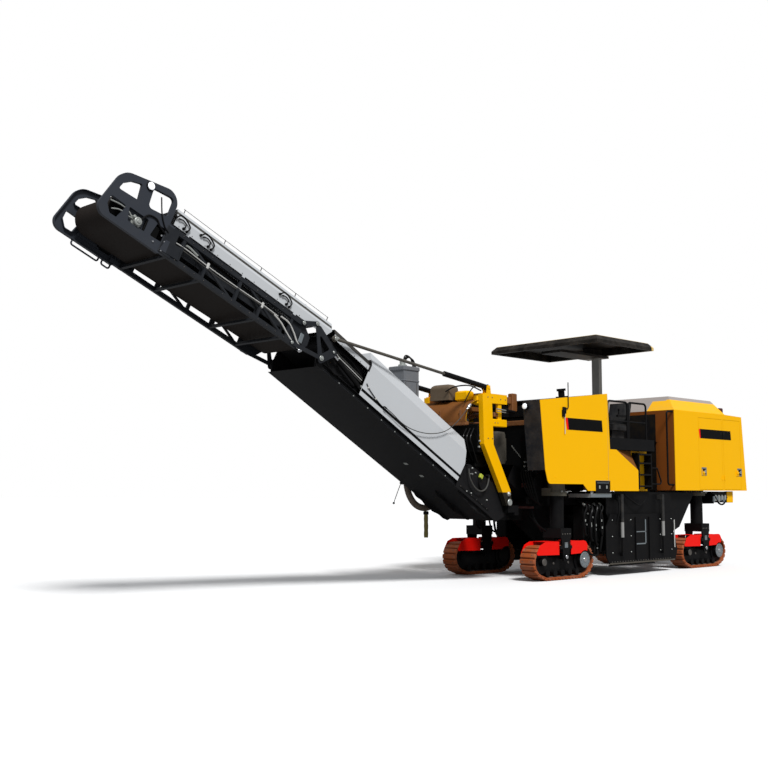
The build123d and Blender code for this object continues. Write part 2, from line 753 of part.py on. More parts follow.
def make_hood_fittings():
    """Round lamps, filler caps and the aerial arms on the front body."""
    lamp_z = 3020
    lean = (panel_front_x - panel_front_corner[0]) / (panel_front_top - 2 - panel_front_corner[1])
    lamp_x = panel_front_x - (panel_front_top - 2 - lamp_z) * lean
    fittings = []
    for side in (1, -1):
        y = side * 960
        place = Pos(lamp_x, y, lamp_z) * Rot(0, 90 + degrees(atan2(lean, 1)), 0)
        fittings.append(place * fused(rod((0, 0, 0), (0, 0, 45), 40), rod((0, 0, 45), (0, 0, 75), 56)))
        arm = bent_tube(
            [(200, side * (half_width + 12), 2900), (200, side * (half_width + 12), 3010), (60, side * (half_width + 12), 3010),
             (60, side * (half_width + 12), 3480)], 9, 45)
        foot = block((165, 235), sorted((side * half_width, side * (half_width + 24))), (2860, 2980))
        fittings.append(fused(arm, foot))
    cap_x, cap_y = -750, 500
    slope = (panel_rear_top - panel_front_top) / (panel_front_x - panel_rear_x)
    roof_z = panel_front_top + (panel_front_x - cap_x) * slope
    cap = fused(
        block((-80, 80), (-80, 80), (0, 20)),
        rod((0, 0, 20), (0, 0, 120), 60),
        rod((0, 0, 120), (0, 0, 165), 85),
    )
    fittings.append(Pos(cap_x, cap_y, roof_z) * Rot(0, degrees(atan2(slope, 1)), 0) * cap)
    save("hood_fittings", fittings)


def make_platform():
    """Deck with its skirts and posts, open over the access wells and round the canopy's mast."""
    skirt_y = half_width - panel
    deck = block((engine_front_x, panel_rear_x - sheet), (-skirt_y, skirt_y), (deck_z - deck_sheet, deck_z))
    for side in (1, -1):
        opening = sorted((side * deck_edge, side * half_width))
        deck = deck - block((engine_front_x - 10, deck_rear_x), opening, (deck_z - 10, deck_z + 10))
    deck = deck - mast_block(pin_gap, deck_z - 20, deck_z + 20)
    parts = []
    for side in (1, -1):
        y_span = sorted((side * (skirt_y - sheet), side * skirt_y))
        parts.append(block((deck_rear_x, panel_rear_x - 60), y_span, (deck_z - deck_depth, deck_z)))
        post_y = sorted((side * beam_inner, side * (beam_inner + 80)))
        for x in (-1400, -2600, -3350):
            parts.append(block((x - 40, x + 40), post_y, (beam_top, deck_z)))
    save("platform_deck", fused(deck, *parts))


def platform_rails():
    """Guard rails of the platform and the hand rails beside the ladders."""
    y = half_width - 40
    top, middle = 3240, 2870
    hoop = bent_tube([(-1200, y, deck_z), (-1200, y, top), (-1830, y, top), (-1830, y, deck_z)], 19, 70)
    rear_hoop = bent_tube([(-1830 - 40, y, deck_z), (-1870, y, top), (-2460, y, top), (-2460, y, deck_z)], 19, 70)
    middles = [rod((-1200, y, middle), (-2460, y, middle), 14)]
    left = fused(hoop, rear_hoop, *middles)
    grab_top, grab_low = 3150, 1690
    grab = bent_tube([(engine_front_x, y, grab_top), (-3200, y, grab_top), (-3200, y, grab_low), (engine_front_x, y, grab_low)], 18, 60)
    return [*both_sides(left), *both_sides(grab)]


def make_operator_stations():
    """Two seats and two desks, one of each on either side."""
    seats, consoles = [], []
    for side in (1, -1):
        y = side * 700
        base = block((-2250, -1850), (y - 150, y + 150), (deck_z, deck_z + 180))
        cushion = fillet(block((-2300, -1800), (y - 230, y + 230), (deck_z + 180, deck_z + 300)).edges().filter_by(Axis.Z), 60)
        back = strut((-2270, deck_z + 300), (-2370, deck_z + 720), y, 440, 90)
        arms = [
            block((-2260, -1880), (y + offset - 25, y + offset + 25), (deck_z + 430, deck_z + 470)) for offset in (-255, 255)
        ]
        stalks = [
            block((-2260, -2200), (y + offset - 20, y + offset + 20), (deck_z + 280, deck_z + 440)) for offset in (-245, 245)
        ]
        seats.append(fused(base, cushion, back, *arms, *stalks))
        desk = side_plate(
            [(-1160, deck_z), (-1160, deck_z + 640), (-1260, deck_z + 640), (-1420, deck_z + 500), (-1300, deck_z)],
            y - 260, y + 260)
        consoles.append(desk)
    save("operator_seats", seats)
    save("control_consoles", consoles)


def mast_block(grow, bottom, top, shrink=0):
    """Upright block on the mast's axis, larger or smaller all round."""
    half_x = mast_size[0] / 2 + grow - shrink
    half_y = mast_size[1] / 2 + grow - shrink
    return block((mast_x - half_x, mast_x + half_x), (-half_y, half_y), (bottom, top))


def make_canopy():
    """Telescoping mast and the hollow roof that its inner post carries."""
    bore = mast_block(0, mast_bottom + 10, mast_joint_z + 10, shrink=mast_wall)
    feet = [
        block((mast_x - 50, mast_x + 50), sorted((side * mast_size[1] / 2, side * beam_inner)), (mast_bottom, mast_bottom + 100))
        for side in (1, -1)
    ]
    legs = [
        block((mast_x - 50, mast_x + 50), sorted((side * (beam_inner - 60), side * beam_inner)), (beam_bottom + 100, mast_bottom))
        for side in (1, -1)
    ]
    save("canopy_mast", fused(mast_block(0, mast_bottom, mast_joint_z), *feet, *legs) - bore)
    rear = canopy_front_x - canopy_length
    half = canopy_width / 2
    bottom = canopy_top - canopy_depth
    middle_x = (canopy_front_x + rear) / 2
    roof = loft([
        Plane.XY.offset(bottom) * Pos(middle_x, 0) * Rectangle(canopy_length, canopy_width),
        Plane.XY.offset(bottom + 60) * Pos(middle_x, 0) * Rectangle(canopy_length, canopy_width),
    ])
    crown = loft([
        Plane.XY.offset(bottom + 60) * Pos(middle_x, 0) * Rectangle(canopy_length, canopy_width),
        Plane.XY.offset(canopy_top) * Pos(middle_x, 0) * Rectangle(canopy_length - 160, canopy_width - 160),
    ])
    hollow = block((rear + 70, canopy_front_x - 70), (-half + 70, half - 70), (bottom - 10, canopy_top - 20))
    frame = block((mast_x - 70, canopy_front_x - 300), (-250, 250), (bottom - 60, bottom - 10))
    riser = block((mast_x - 60, mast_x + 300), (-120, 120), (bottom - 20, canopy_top - 20))
    post = mast_block(0, mast_joint_z - 880, bottom - 50, shrink=mast_wall + pin_gap)
    save("canopy_roof", fused(fused(roof, crown) - hollow, riser, frame, post))


def make_ladders():
    """Ladders in the side panels' recesses, with a hand loop behind each."""
    y0, y1 = recess_y, half_width - 30
    rails = [block((x - 15, x + 15), (y0, y1), (1600, deck_z - deck_depth - 40)) for x in (-2190, -2610)]
    steps = [block((-2595, -2205), (y0 + 20, y1), (z, z + 30)) for z in (1640, 1860, 2080, 2250)]
    left = fused(*rails, *steps)
    y = half_width - 60
    loop = bent_tube([(-2610, y, 2010), (-2850, y, 2010), (-3010, y, 1700), (-2610, y, 1700)], 14, 50)
    save("ladders_and_rails", both_sides(fused(left, loop)), platform_rails())


def make_engine_housing():
    """Rear body: sheet walls with door openings, and the hipped upper part."""
    inner = half_width - panel
    side_outline = [
        (engine_front_x, engine_bottom), (engine_front_x, engine_side_top), (engine_shoulder_x, engine_side_top),
        (engine_rear_top_x, engine_rear_top), (engine_rear_x, engine_bottom),
    ]
    solid = side_plate(side_outline, -inner, inner)
    inside = [
        (engine_front_x - sheet, engine_bottom - 10), (engine_front_x - sheet, engine_side_top - sheet),
        (engine_shoulder_x, engine_side_top - sheet), (engine_rear_top_x + sheet, engine_rear_top - sheet),
        (engine_rear_x + sheet, engine_bottom - 10),
    ]
    shell = solid - side_plate(inside, -inner - 1, inner + 1)
    shell = shell - block((engine_shoulder_x + 40, engine_front_x - 300), (-900, 900), (3100, 3300))
    hatch_hole = block((engine_rear_x - 50, -6050), (-hatch_half - door_gap, hatch_half + door_gap), (hatch_low - door_gap, hatch_high + door_gap))
    walls = []
    for side in (1, -1):
        wall = side_plate(side_outline, *sorted((side * inner, side * half_width)))
        for x0, x1 in ((door_mid_x + door_post / 2, door_front_x), (door_rear_x, door_mid_x - door_post / 2)):
            wall = wall - block((x0, x1), (-2000, 2000), (door_bottom, door_top))
        ribs = [
            block((x - 30, x + 30), sorted((side * beam_outer, side * inner)), (beam_top + 28, beam_top + 40))
            for x in (-3600, -5900)
        ]
        walls.append(fused(wall, *ribs))
    save("engine_side_walls", walls)
    pin_x = engine_rear_top_x + hatch_slope * (engine_rear_top - hatch_high) - 8
    hinges = []
    for y in hatch_hinge_y:
        hinges.append(cross_rod(pin_x, hatch_high + hatch_pin_rise, hatch_pin_radius, y - 74, y + 74))
        for end in (-74, 66):
            hinges.append(block((pin_x - 8, pin_x + 14), (y + end, y + end + 8), (hatch_high + door_gap, hatch_high + 22)))
    save("engine_housing", fused(shell - hatch_hole, *hinges))
    length = engine_front_x - engine_shoulder_x
    middle_x = (engine_front_x + engine_shoulder_x) / 2
    shells = []
    for shrink in (0, sheet):
        base = Plane.XY.offset(engine_side_top - shrink) * Pos(middle_x, 0) * Rectangle(length - 2 * shrink, machine_width - 4 * shrink)
        top = Plane.XY.offset(roof_peak - shrink) * Pos(middle_x - roof_slope / 2, 0) * Rectangle(
            length - roof_slope - 4 * shrink, machine_width - 2 * roof_inset - 2 * shrink)
        shells.append(loft([base, top]))
    lamp = block((engine_shoulder_x - 70, engine_shoulder_x), (half_width - 330, half_width - 230), (engine_side_top, engine_side_top + 110))
    save("engine_roof", fused(shells[0] - shells[1], lamp))


def make_doors():
    """Double doors on both sides, hinged at their middle post, and the rear hatch."""
    for side, label in ((1, "left"), (-1, "right")):
        for x0, x1, end in (
            (door_mid_x + door_post / 2 + door_gap, door_front_x - door_gap, "front"),
            (door_rear_x + door_gap, door_mid_x - door_post / 2 - door_gap, "rear"),
        ):
            inward = 1 if end == "front" else -1
            hinge_x = x0 if end == "front" else x1
            lock_x = x1 if end == "front" else x0
            leaf = block((x0, x1), (half_width - panel, half_width), (door_bottom + door_gap, door_top - door_gap))
            knuckle_y = half_width + knuckle_radius - 1
            pins = [rod((hinge_x, knuckle_y, z), (hinge_x, knuckle_y, z + knuckle_length), knuckle_radius) for z in knuckle_heights]
            flaps = [
                block(sorted((hinge_x, hinge_x + inward * 40)), (half_width, half_width + 5), (z, z + knuckle_length))
                for z in knuckle_heights
            ]
            latch_x = sorted((lock_x - inward * 90, lock_x - inward * 210))
            latch = block(latch_x, (half_width, half_width + 9), (1890, 2010))
            handle = block((latch_x[0] + 25, latch_x[1] - 25), (half_width, half_width + 22), (1925, 1975))
            door = fused(leaf, *pins, *flaps, latch, handle)
            save(f"engine_door_{label}_{end}", door if side == 1 else mirrored(door))
    x_low = engine_rear_top_x + hatch_slope * (engine_rear_top - hatch_low)
    x_high = engine_rear_top_x + hatch_slope * (engine_rear_top - hatch_high)
    outline = [(x_low, hatch_low), (x_high, hatch_high), (x_high + panel, hatch_high), (x_low + panel, hatch_low)]
    leaf = side_plate(outline, -hatch_half, hatch_half)
    for row in range(7):
        z = hatch_low + 180 + row * 140
        leaf = leaf - block((engine_rear_x - 250, engine_rear_top_x + 200), (-600, 600), (z, z + 50))
    pin_x, pin_z = x_high - 8, hatch_high + hatch_pin_rise
    for y in hatch_hinge_y:
        flap = block((pin_x, pin_x + 8), (y - 60, y + 60), (hatch_high - 60, pin_z))
        leaf = fused(leaf, flap, cross_rod(pin_x, pin_z, knuckle_radius, y - 60, y + 60))
        leaf = leaf - cross_rod(pin_x, pin_z, hatch_pin_radius + pin_gap, y - 61, y + 61)
    save("rear_hatch", leaf)


def make_engine():
    """Engine, coolers and pumps as one block on its mounts."""
    save("engine_block", block((-5500, -3900), (-460, 460), (beam_top, 2550)))


# ---------------------------------------------------------------- discharge conveyor
def to_lower(point):
    """A point of the upper section's side view as seen along the lower section, at rest."""
    x, z = point
    turn = radians(kink)
    return x * cos(turn) + z * sin(turn), z * cos(turn) - x * sin(turn)


def hinge_in_lower():
    """Fold hinge's axis in the lower section's side view, from the section's foot."""
    x, z = to_lower(hinge_pin)
    return fold_s + x, z


def across(side, near, far):
    """Span of Y between two distances from the middle, on one side."""
    return sorted((side * near, side * far))


def rounded(corners):
    """Face in X and Z with its own radius at each corner, given as (x, z, radius)."""
    points = [(x, z) for x, z, radius in corners]
    return make_face(FilletPolyline(*points, radius=[radius for x, z, radius in corners], close=True))


def rounded_plate(corners, y0, y1, windows=()):
    """Plate with rounded corners and rounded windows, between two Y values."""
    face = rounded(corners)
    for window in windows:
        face = face - rounded(window)
    return extrude(Plane.XZ.offset(-y1) * face, amount=y1 - y0, dir=(0, -1, 0))


def make_cowl():
    """Curved guard over the conveyor's foot, between the bracket's arms."""
    x, z = cowl_centre
    ring = cross_rod(x, z, cowl_radius, -arm_y, arm_y) - cross_rod(x, z, cowl_radius - panel, -arm_y - 1, arm_y + 1)
    keep = block((x - 40, x + cowl_radius), (-arm_y - 1, arm_y + 1), (z - 20, z + cowl_radius))
    return ring & keep


def extraction_shell(inset, round_edge):
    """Round-topped block of the dust extraction box, drawn in by inset."""
    spans = [(low + inset, high - inset) for low, high in (extraction_x, extraction_y, extraction_z)]
    body = block(*spans)
    return fillet(body.edges().group_by(Axis.Z)[-1], round_edge)


def make_bracket():
    """Slewing bracket with the lift cylinders' feet, the cowl and the dust hose's collars."""
    pieces = [make_cowl()]
    foot_x, foot_z = lift_foot[0] + swivel_x, lift_foot[1]
    ear = [(foot_x - 60, 3225), (foot_x + 60, 3225), (foot_x + 40, foot_z + 30), (foot_x - 40, foot_z + 30)]
    arm = [
        (1775, 3205), (1743, 2350), (1236, 1535), (1120, arm_bottom), (960, arm_bottom), (1000, 1560),
        (1474, 2350), (1517, 3205),
    ]
    beam = [(1080, 3225), (1700, 3225), (1700, 3060), (1080, 3060)]
    for side in (1, -1):
        pieces.append(side_plate(arm, *across(side, arm_y, arm_outer)))
        pieces.append(side_plate(beam, *across(side, arm_y, arm_outer)))
        pieces.append(cross_rod(boom_pivot_x, boom_pivot_z, pivot_pin_radius, *across(side, arm_y - 60, arm_outer + 20)))
        pieces.append(cross_rod(foot_x, foot_z, lift_pin_radius, *across(side, lift_y - 50, lift_y + 50)))
        for y in (lift_y - 46, lift_y + 31):
            pieces.append(side_plate(ear, *across(side, y, y + 15)))
    pieces.append(block((1450, 1720), (-arm_outer, arm_outer), (3060, 3225)))
    pieces.append(block((swivel_x - 80, 1500), (-100, 100), (2965, 3035)))
    pieces.append(block((1400, 1500), (-100, 100), (2965, 3100)))
    pieces.append(block((1700, extraction_x[0]), (extraction_y[0] + 40, extraction_y[1] - 40), (3150, 3225)))
    start_x, start_z = dust_hose_route[0]
    end_x, end_z = dust_hose_route[-1]
    collar_y = (dust_hose_y - 80, 1 - arm_outer)
    pieces.append(block((start_x - 160, start_x), collar_y, (start_z - 82, start_z + 83)))
    pieces.append(block((end_x - 80, end_x + 80), collar_y, (end_z, end_z + 80)))
    bracket = fused(*pieces) - rod((swivel_x, 0, 2900), (swivel_x, 0, 3050), swivel_pin_radius + pin_gap)
    save("conveyor_bracket", in_bracket * bracket)
    yoke = fused(
        block(yoke_x, (-arm_outer, arm_outer), yoke_z),
        block((yoke_x[0], swivel_x + 100), (-130, 130), yoke_z),
        *[block((yoke_x[0], 1075), across(side, arm_y + 5, arm_outer), (1180, arm_bottom)) for side in (1, -1)],
    )
    save("swivel_yoke", in_bracket * (yoke - rod((swivel_x, 0, 1000), (swivel_x, 0, 1400), swivel_pin_radius + pin_gap)))
    save("extraction_box", in_bracket * (extraction_shell(0, 90) - extraction_shell(sheet, 85)))


def hose(name, diameter, points):
    """Flexible hose or cable: straight runs joined by the largest arcs that fit."""
    radii = []
    for before, here, after in zip(points, points[1:], points[2:]):
        into, out = Vector(*here) - Vector(*before), Vector(*after) - Vector(*here)
        half_turn = radians(into.get_angle(out)) / 2
        radii.append(0.45 * min(into.length, out.length) / tan(half_turn))
    route = FilletPolyline(*points, radius=radii)
    tube = sweep(Plane(origin=route @ 0, z_dir=route % 0) * Circle(diameter / 2), path=route)
    share = tube.volume / (pi * diameter ** 2 / 4 * route.length)
    print(name, "length", round(route.length), "radii", [round(radius) for radius in radii], "volume share", round(share, 4))
    return tube


def make_hoses():
    """Slack cable and hoses at the conveyor's foot."""
    cable = hose("signal_cable", cable_diameter, [(s, cable_y, n) for s, n in cable_route])
    save("signal_cable", lower_place * cable)
    foot = hose("foot_hose", foot_hose_diameter, [(s, foot_hose_y, n) for s, n in foot_hose_route])
    save("foot_hose", lower_place * foot)
    dust = hose("dust_hose", dust_hose_diameter, [(x, dust_hose_y, z) for x, z in dust_hose_route])
    save("dust_hose", in_bracket * dust)
    sleeve = rod((sleeve_x, dust_hose_y, sleeve_z[0]), (sleeve_x, dust_hose_y, sleeve_z[1]), sleeve_diameter / 2)
    save("drop_sleeve", in_bracket * sleeve)


def lower_foot():
    """Side plates of the lower section's foot, with the holes for the pivot pins."""
    outline = [
        (-170, -160, 40), (30, lower_bottom, 60), (1286, lower_bottom, 1), (1286, rail_top - 2, 1), (1236, 57, 5),
        (1120, 120, 60), (470, 150, 200), (60, 200, 60), (-90, 200, 60), (-170, 60, 60),
    ]
    pieces = []
    for side in (1, -1):
        pieces.append(rounded_plate(outline, *across(side, half_boom - boom_sheet, half_boom)))
        pieces.append(cross_rod(0, 0, 90, *across(side, half_boom - 60, half_boom)))
    return pieces


def lower_rails():
    """Channel rails along both sides, joined by the floor."""
    pieces = [block((100, fold_s - 40), (-half_boom, half_boom), (lower_bottom, lower_bottom + boom_sheet))]
    for side in (1, -1):
        run = (650, fold_s - 150)
        pieces.append(block(run, across(side, half_boom - 50, half_boom - 44), (lower_bottom, rail_top)))
        pieces.append(block(run, across(side, half_boom - 50, half_boom), (rail_top - boom_sheet, rail_top)))
        inner = (cover_front + 5, fold_s - 140)
        pieces.append(block(inner, across(side, skirt_y - boom_sheet, skirt_y), (lower_bottom, hood_bottom)))
    return pieces


def lower_lugs():
    """Plates at the top end that carry the fold hinge, the lift eye and the belt's pulley."""
    hinge_s, hinge_n = hinge_in_lower()
    lift_plate = [
        (fold_s - 210, lower_bottom, 1), (fold_s - 40, lower_bottom, 1), (fold_s + 10, -250, 40), (fold_s + 10, 80, 60),
        (lift_eye_s + 45, lift_eye_n + 45, 40), (lift_eye_s - 45, lift_eye_n + 45, 40), (lift_eye_s - 60, 40, 40),
    ]
    pieces = []
    for side in (1, -1):
        pieces.append(rounded_plate(lift_plate, *across(side, half_boom - 80, half_boom - 62)))
        hinge_plate = [
            (fold_s - 210, lower_bottom), (fold_s - 60, lower_bottom), (hinge_s + 45, hinge_n - 30), (hinge_s + 45, hinge_n + 40),
            (hinge_s - 40, hinge_n + 50),
        ]
        pieces.append(side_plate(hinge_plate, *across(side, half_boom - 64, half_boom - 40)))
        pieces.append(cross_rod(hinge_s, hinge_n, hinge_pin_radius, *across(side, half_boom - 62, rocker_y + rocker_thickness + 8)))
        pieces.append(cross_rod(lift_eye_s, lift_eye_n, lift_pin_radius, *across(side, half_boom - 80, lift_y + 30)))
        foot_s, foot_n = fold_s + fold_foot[0], fold_foot[1]
        ear = [(foot_s - 60, lower_bottom), (foot_s + 60, lower_bottom), (foot_s + 30, foot_n + 35), (foot_s - 30, foot_n + 35)]
        pieces.append(side_plate(ear, *across(side, fold_y - 52, fold_y - 38)))
        pieces.append(cross_rod(foot_s, foot_n, fold_pin_radius, *across(side, fold_y - 52, fold_y + 22)))
    return pieces


def gland(start, toward, y, radius):
    """Sleeve that a hose leaves, in line with its first run, on a stub from the left side."""
    (s0, n0), (s1, n1) = start, toward
    run = hypot(s1 - s0, n1 - n0)
    back_s, back_n = s0 - (s1 - s0) / run * 50, n0 - (n1 - n0) / run * 50
    return [rod((s0, y, n0), (back_s, y, back_n), radius), cross_rod(back_s, back_n, radius * 0.8, half_boom - 2, y)]


def make_lower_section():
    """Frame, white cover with the transfer hood, belt and pulleys of the lower section."""
    foot_glands = gland(*foot_hose_route[:2], foot_hose_y, 20) + gland(*foot_hose_route[:-3:-1], foot_hose_y, 20)
    body = fused(*lower_foot(), *lower_rails(), *lower_lugs(), *foot_glands)
    for side in (1, -1):
        body = body - cross_rod(0, 0, pivot_pin_radius + pin_gap, *across(side, half_boom - 80, half_boom + 20))
    save("conveyor_lower_frame", lower_place * body)
    save("conveyor_lower_cover", lower_place * fused(make_lower_cover(), *gland(*cable_route[:2], cable_y, 12)))
    circles = [(lower_tail[0], lower_tail[1], lower_pulley_radius), (fold_s + lower_head[0], lower_head[1], lower_pulley_radius)]
    save("conveyor_lower_belt", lower_place * belt(circles, belt_thickness, -belt_width / 2, belt_width / 2))
    rollers = [
        tube_roller(circles[0][0], circles[0][1], lower_pulley_radius, roller_wall, roller_half, 30, half_boom - boom_sheet - pin_gap),
        tube_roller(circles[1][0], circles[1][1], lower_pulley_radius, roller_wall, roller_half, 30, half_boom - 80 - pin_gap),
    ]
    save("conveyor_lower_pulleys", [lower_place * item for item in rollers])


def cover_section(bottom, shoulder, top, top_half, s0, s1, inset=0):
    """Inverted trough between two places along a section, drawn in by inset."""
    half = half_boom - inset
    lean = inset * 0.4
    points = [
        (-half, bottom), (-half, shoulder - lean), (inset - top_half, top - inset), (top_half - inset, top - inset),
        (half, shoulder - lean), (half, bottom),
    ]
    return cross_plate(points, s0, s1)


def make_lower_cover():
    """White cover over the lower belt and the lower hood where the two belts meet."""
    outer = cover_section(rail_top, cover_shoulder, cover_top, cover_top_half, 1200, cover_front)
    inner = cover_section(rail_top - 10, cover_shoulder, cover_top, cover_top_half, 1190, cover_front - boom_sheet, boom_sheet)
    side = [
        (cover_rear, rail_top), (1242, 57), (1312, cover_shoulder), (1330, cover_top + 1), (cover_front + 1, cover_top + 1),
        (cover_front + 1, rail_top),
    ]
    trimmed = (outer - inner) & side_plate(side, -half_boom - 1, half_boom + 1)
    reach = half_boom - boom_sheet
    trimmed = trimmed - block((cover_front - 10, cover_front + 10), (-reach, reach), (rail_top - 10, hood_top - 20))
    hood_outer = cover_section(hood_bottom, upper_shoulder, hood_top, upper_top_half, cover_front, hood_front)
    hood_inner = cover_section(hood_bottom - 10, upper_shoulder, hood_top, upper_top_half, cover_front - 1, hood_front + 1, boom_sheet)
    return fused(trimmed, hood_outer - hood_inner)


def head_plate():
    """Outer face of one pressed head plate with its windows, and the rim round its edge."""
    corners = [(3030, -385, 20), (4060, -385, 130), (3906, 299, 230), (3045, 533, 176)]
    windows = [
        [(3565, 72, 20), (3868, 48, 20), (3838, 150, 20), (3735, 245, 20), (3600, 298, 20)],
        [(3920, -85, 35), (3672, -90, 35), (3735, -305, 35), (3850, -310, 35), (3925, -215, 35)],
        [(3408, 75, 55), (3436, 350, 55), (3112, 405, 55), (3105, 128, 55)],
        [(3330, -70, 15), (3640, -75, 15), (3590, -255, 15), (3330, -245, 15)],
        [(3060, -35, 15), (3205, -45, 15), (3240, -240, 15), (3060, -228, 15)],
    ]
    face = rounded(corners)
    rim = face - offset(face, -8)
    for window in windows:
        hole = rounded(window)
        face = face - hole
    for window in windows[:3]:
        hole = rounded(window)
        rim = rim + (offset(hole, 8) - hole)
    return face, rim


def make_head():
    """Both head plates, the motor's backing plates and the lamps' bosses."""
    face, rim = head_plate()
    pieces = []
    for side in (1, -1):
        y0, y1 = across(side, half_boom - 12, half_boom)
        web = extrude(Plane.XZ.offset(-y1) * face, amount=12, dir=(0, -1, 0))
        r0, r1 = across(side, half_boom - chord_width, half_boom)
        edge = extrude(Plane.XZ.offset(-r1) * rim, amount=chord_width, dir=(0, -1, 0))
        backing = block((3310, 3660), across(side, half_boom - chord_width, half_boom - chord_width + 6), (-300, -50))
        stays = block((3310, 3318), across(side, half_boom - chord_width, half_boom - 6), (-300, -50))
        motor = cross_rod(3465, -185, 55, *across(side, half_boom - chord_width, half_boom - 14))
        boss = cross_rod(3492, 340, 50, *across(side, half_boom, half_boom + 14))
        take_up = side_plate([(3010, -163), (2774, -134), (2747, -313), (3050, -330)], *across(side, half_boom - 20, half_boom + 12))
        pieces += [web, edge, backing, stays, motor, boss, take_up]
    loops = [
        bent_tube([(x0, -half_boom + 25, -370), (x0, -half_boom + 25, -450), (x1, -half_boom + 25, -450), (x1, -half_boom + 25, -370)], 12, 30)
        for x0, x1 in ((3060, 3190), (3250, 3680))
    ]
    return pieces + loops


def make_truss():
    """Chords, posts and diagonals of the upper section, with the plates at its lower end."""
    pieces = []
    low = upper_bottom + chord_depth / 2
    high = upper_chord_top - chord_depth / 2
    end = [(270, -200, 20), (270, -70, 20), (440, upper_chord_top, 20), (720, upper_chord_top, 5), (720, upper_bottom, 5), (400, upper_bottom, 40)]
    for side in (1, -1):
        y = side * (half_boom - chord_width / 2)
        pieces.append(strut((480, low), (3100, low), y, chord_width, chord_depth))
        pieces.append(strut((520, high), (3100, high), y, chord_width, chord_depth))
        pieces.append(rounded_plate(end, *across(side, half_boom - chord_width, half_boom - chord_width + 8)))
        for place in post_places:
            pieces.append(strut((place, low), (place, high), y, 40, 46))
        for place, top in half_posts:
            pieces.append(strut((place, low), (place, top), y, 34, 34))
        for start, finish in diagonals:
            pieces.append(strut(start, finish, y, 30, 30))
        pieces.append(block((720, upper_cover_front), across(side, skirt_y - boom_sheet, skirt_y), (-180, -10)))
        for place in cross_places:
            hanger = across(side, skirt_y - boom_sheet, skirt_y)
            pieces.append(block((place - 20, place + 20), hanger, (upper_bottom + 40, -175)))
    for place in cross_places:
        pieces.append(block((place - 20, place + 20), (20 - half_boom, half_boom - 20), (upper_bottom + 5, upper_bottom + 45)))
    return pieces


def fold_plates():
    """Rocker, link and lower arm that carry the upper section on the fold hinge."""
    pieces = []
    radii = (60, 55, 45)
    outline = [(x, z, radius) for (x, z), radius in zip(rocker_outline, radii)]
    window = [(x, z, 20) for x, z in rocker_window]
    for side in (1, -1):
        span = across(side, rocker_y, rocker_y + rocker_thickness)
        pieces.append(rounded_plate(outline, *span, windows=[window]))
        link = strut(rocker_top_pin, link_pin, (span[0] + span[1]) / 2, rocker_thickness, 70)
        arm = strut(hinge_pin, (600, upper_bottom + 30), (span[0] + span[1]) / 2, rocker_thickness, 60)
        pieces += [link, arm]
        for x, z in (rocker_top_pin, link_pin):
            pieces.append(cross_rod(x, z, 35, *across(side, rocker_y, rocker_y + rocker_thickness + 10)))
        pieces.append(cross_rod(*link_pin, 30, *across(side, half_boom - chord_width, rocker_y + rocker_thickness)))
        pieces.append(cross_rod(590, upper_bottom + 32, 30, *across(side, half_boom - chord_width, rocker_y + rocker_thickness)))
        pieces.append(cross_rod(*hinge_pin, 55, *across(side, rocker_y, rocker_y + rocker_thickness)))
        pieces.append(cross_rod(*crank_pin, fold_pin_radius + 14, *across(side, rocker_y, rocker_y + rocker_thickness)))
        pieces.append(cross_rod(*crank_pin, fold_pin_radius, *across(side, fold_y + 19 + pin_gap, rocker_y + rocker_thickness + 8)))
    return pieces


def make_upper_section():
    """Truss with its head, cover, belt and pulleys."""
    frame = fused(*make_truss(), *make_head(), *fold_plates())
    for side in (1, -1):
        frame = frame - cross_rod(*hinge_pin, hinge_pin_radius + pin_gap, *across(side, half_boom - 80, half_boom + 60))
    save("conveyor_upper_frame", upper_place * frame)
    outer = cover_section(upper_cover_bottom, upper_shoulder, upper_cover_top, upper_top_half, cover_start_upper, upper_cover_front)
    inner = cover_section(0, upper_shoulder, upper_cover_top, upper_top_half, cover_start_upper - 1, upper_cover_front + 1, boom_sheet)
    side = [
        (40, upper_cover_bottom - 1), (cover_start_upper, 215), (cover_start_upper, upper_cover_top + 1),
        (upper_cover_front + 2, upper_cover_top + 1), (upper_cover_front + 2, upper_cover_bottom - 1),
    ]
    cover = (outer - inner) & side_plate(side, -half_boom - 1, half_boom + 1)
    legs = []
    for side_sign in (1, -1):
        for place in (700, 1720, 2740):
            legs.append(block(
                (place - 25, place + 25), across(side_sign, half_boom - boom_sheet, half_boom), (upper_chord_top, upper_cover_bottom)))
    joint = cover_section(upper_cover_bottom, upper_shoulder + 3, upper_cover_top + 6, upper_top_half + 3, upper_cover_joint - 12, upper_cover_joint + 12)
    strap = joint - cover_section(0, upper_shoulder, upper_cover_top, upper_top_half, 0, 3000, boom_sheet)
    save("conveyor_upper_cover", upper_place * fused(cover, *legs, strap))
    circles = [(upper_tail[0], upper_tail[1], upper_tail_radius), (upper_head[0], upper_head[1], head_pulley_radius)]
    save("conveyor_upper_belt", upper_place * belt(circles, belt_thickness, -belt_width / 2, belt_width / 2))
    rollers = [
        tube_roller(*circles[0], roller_wall, roller_half, 30, half_boom - chord_width - pin_gap),
        tube_roller(*circles[1], roller_wall, roller_half, 40, half_boom - chord_width - pin_gap),
    ]
    save("conveyor_upper_pulleys", [upper_place * item for item in rollers])


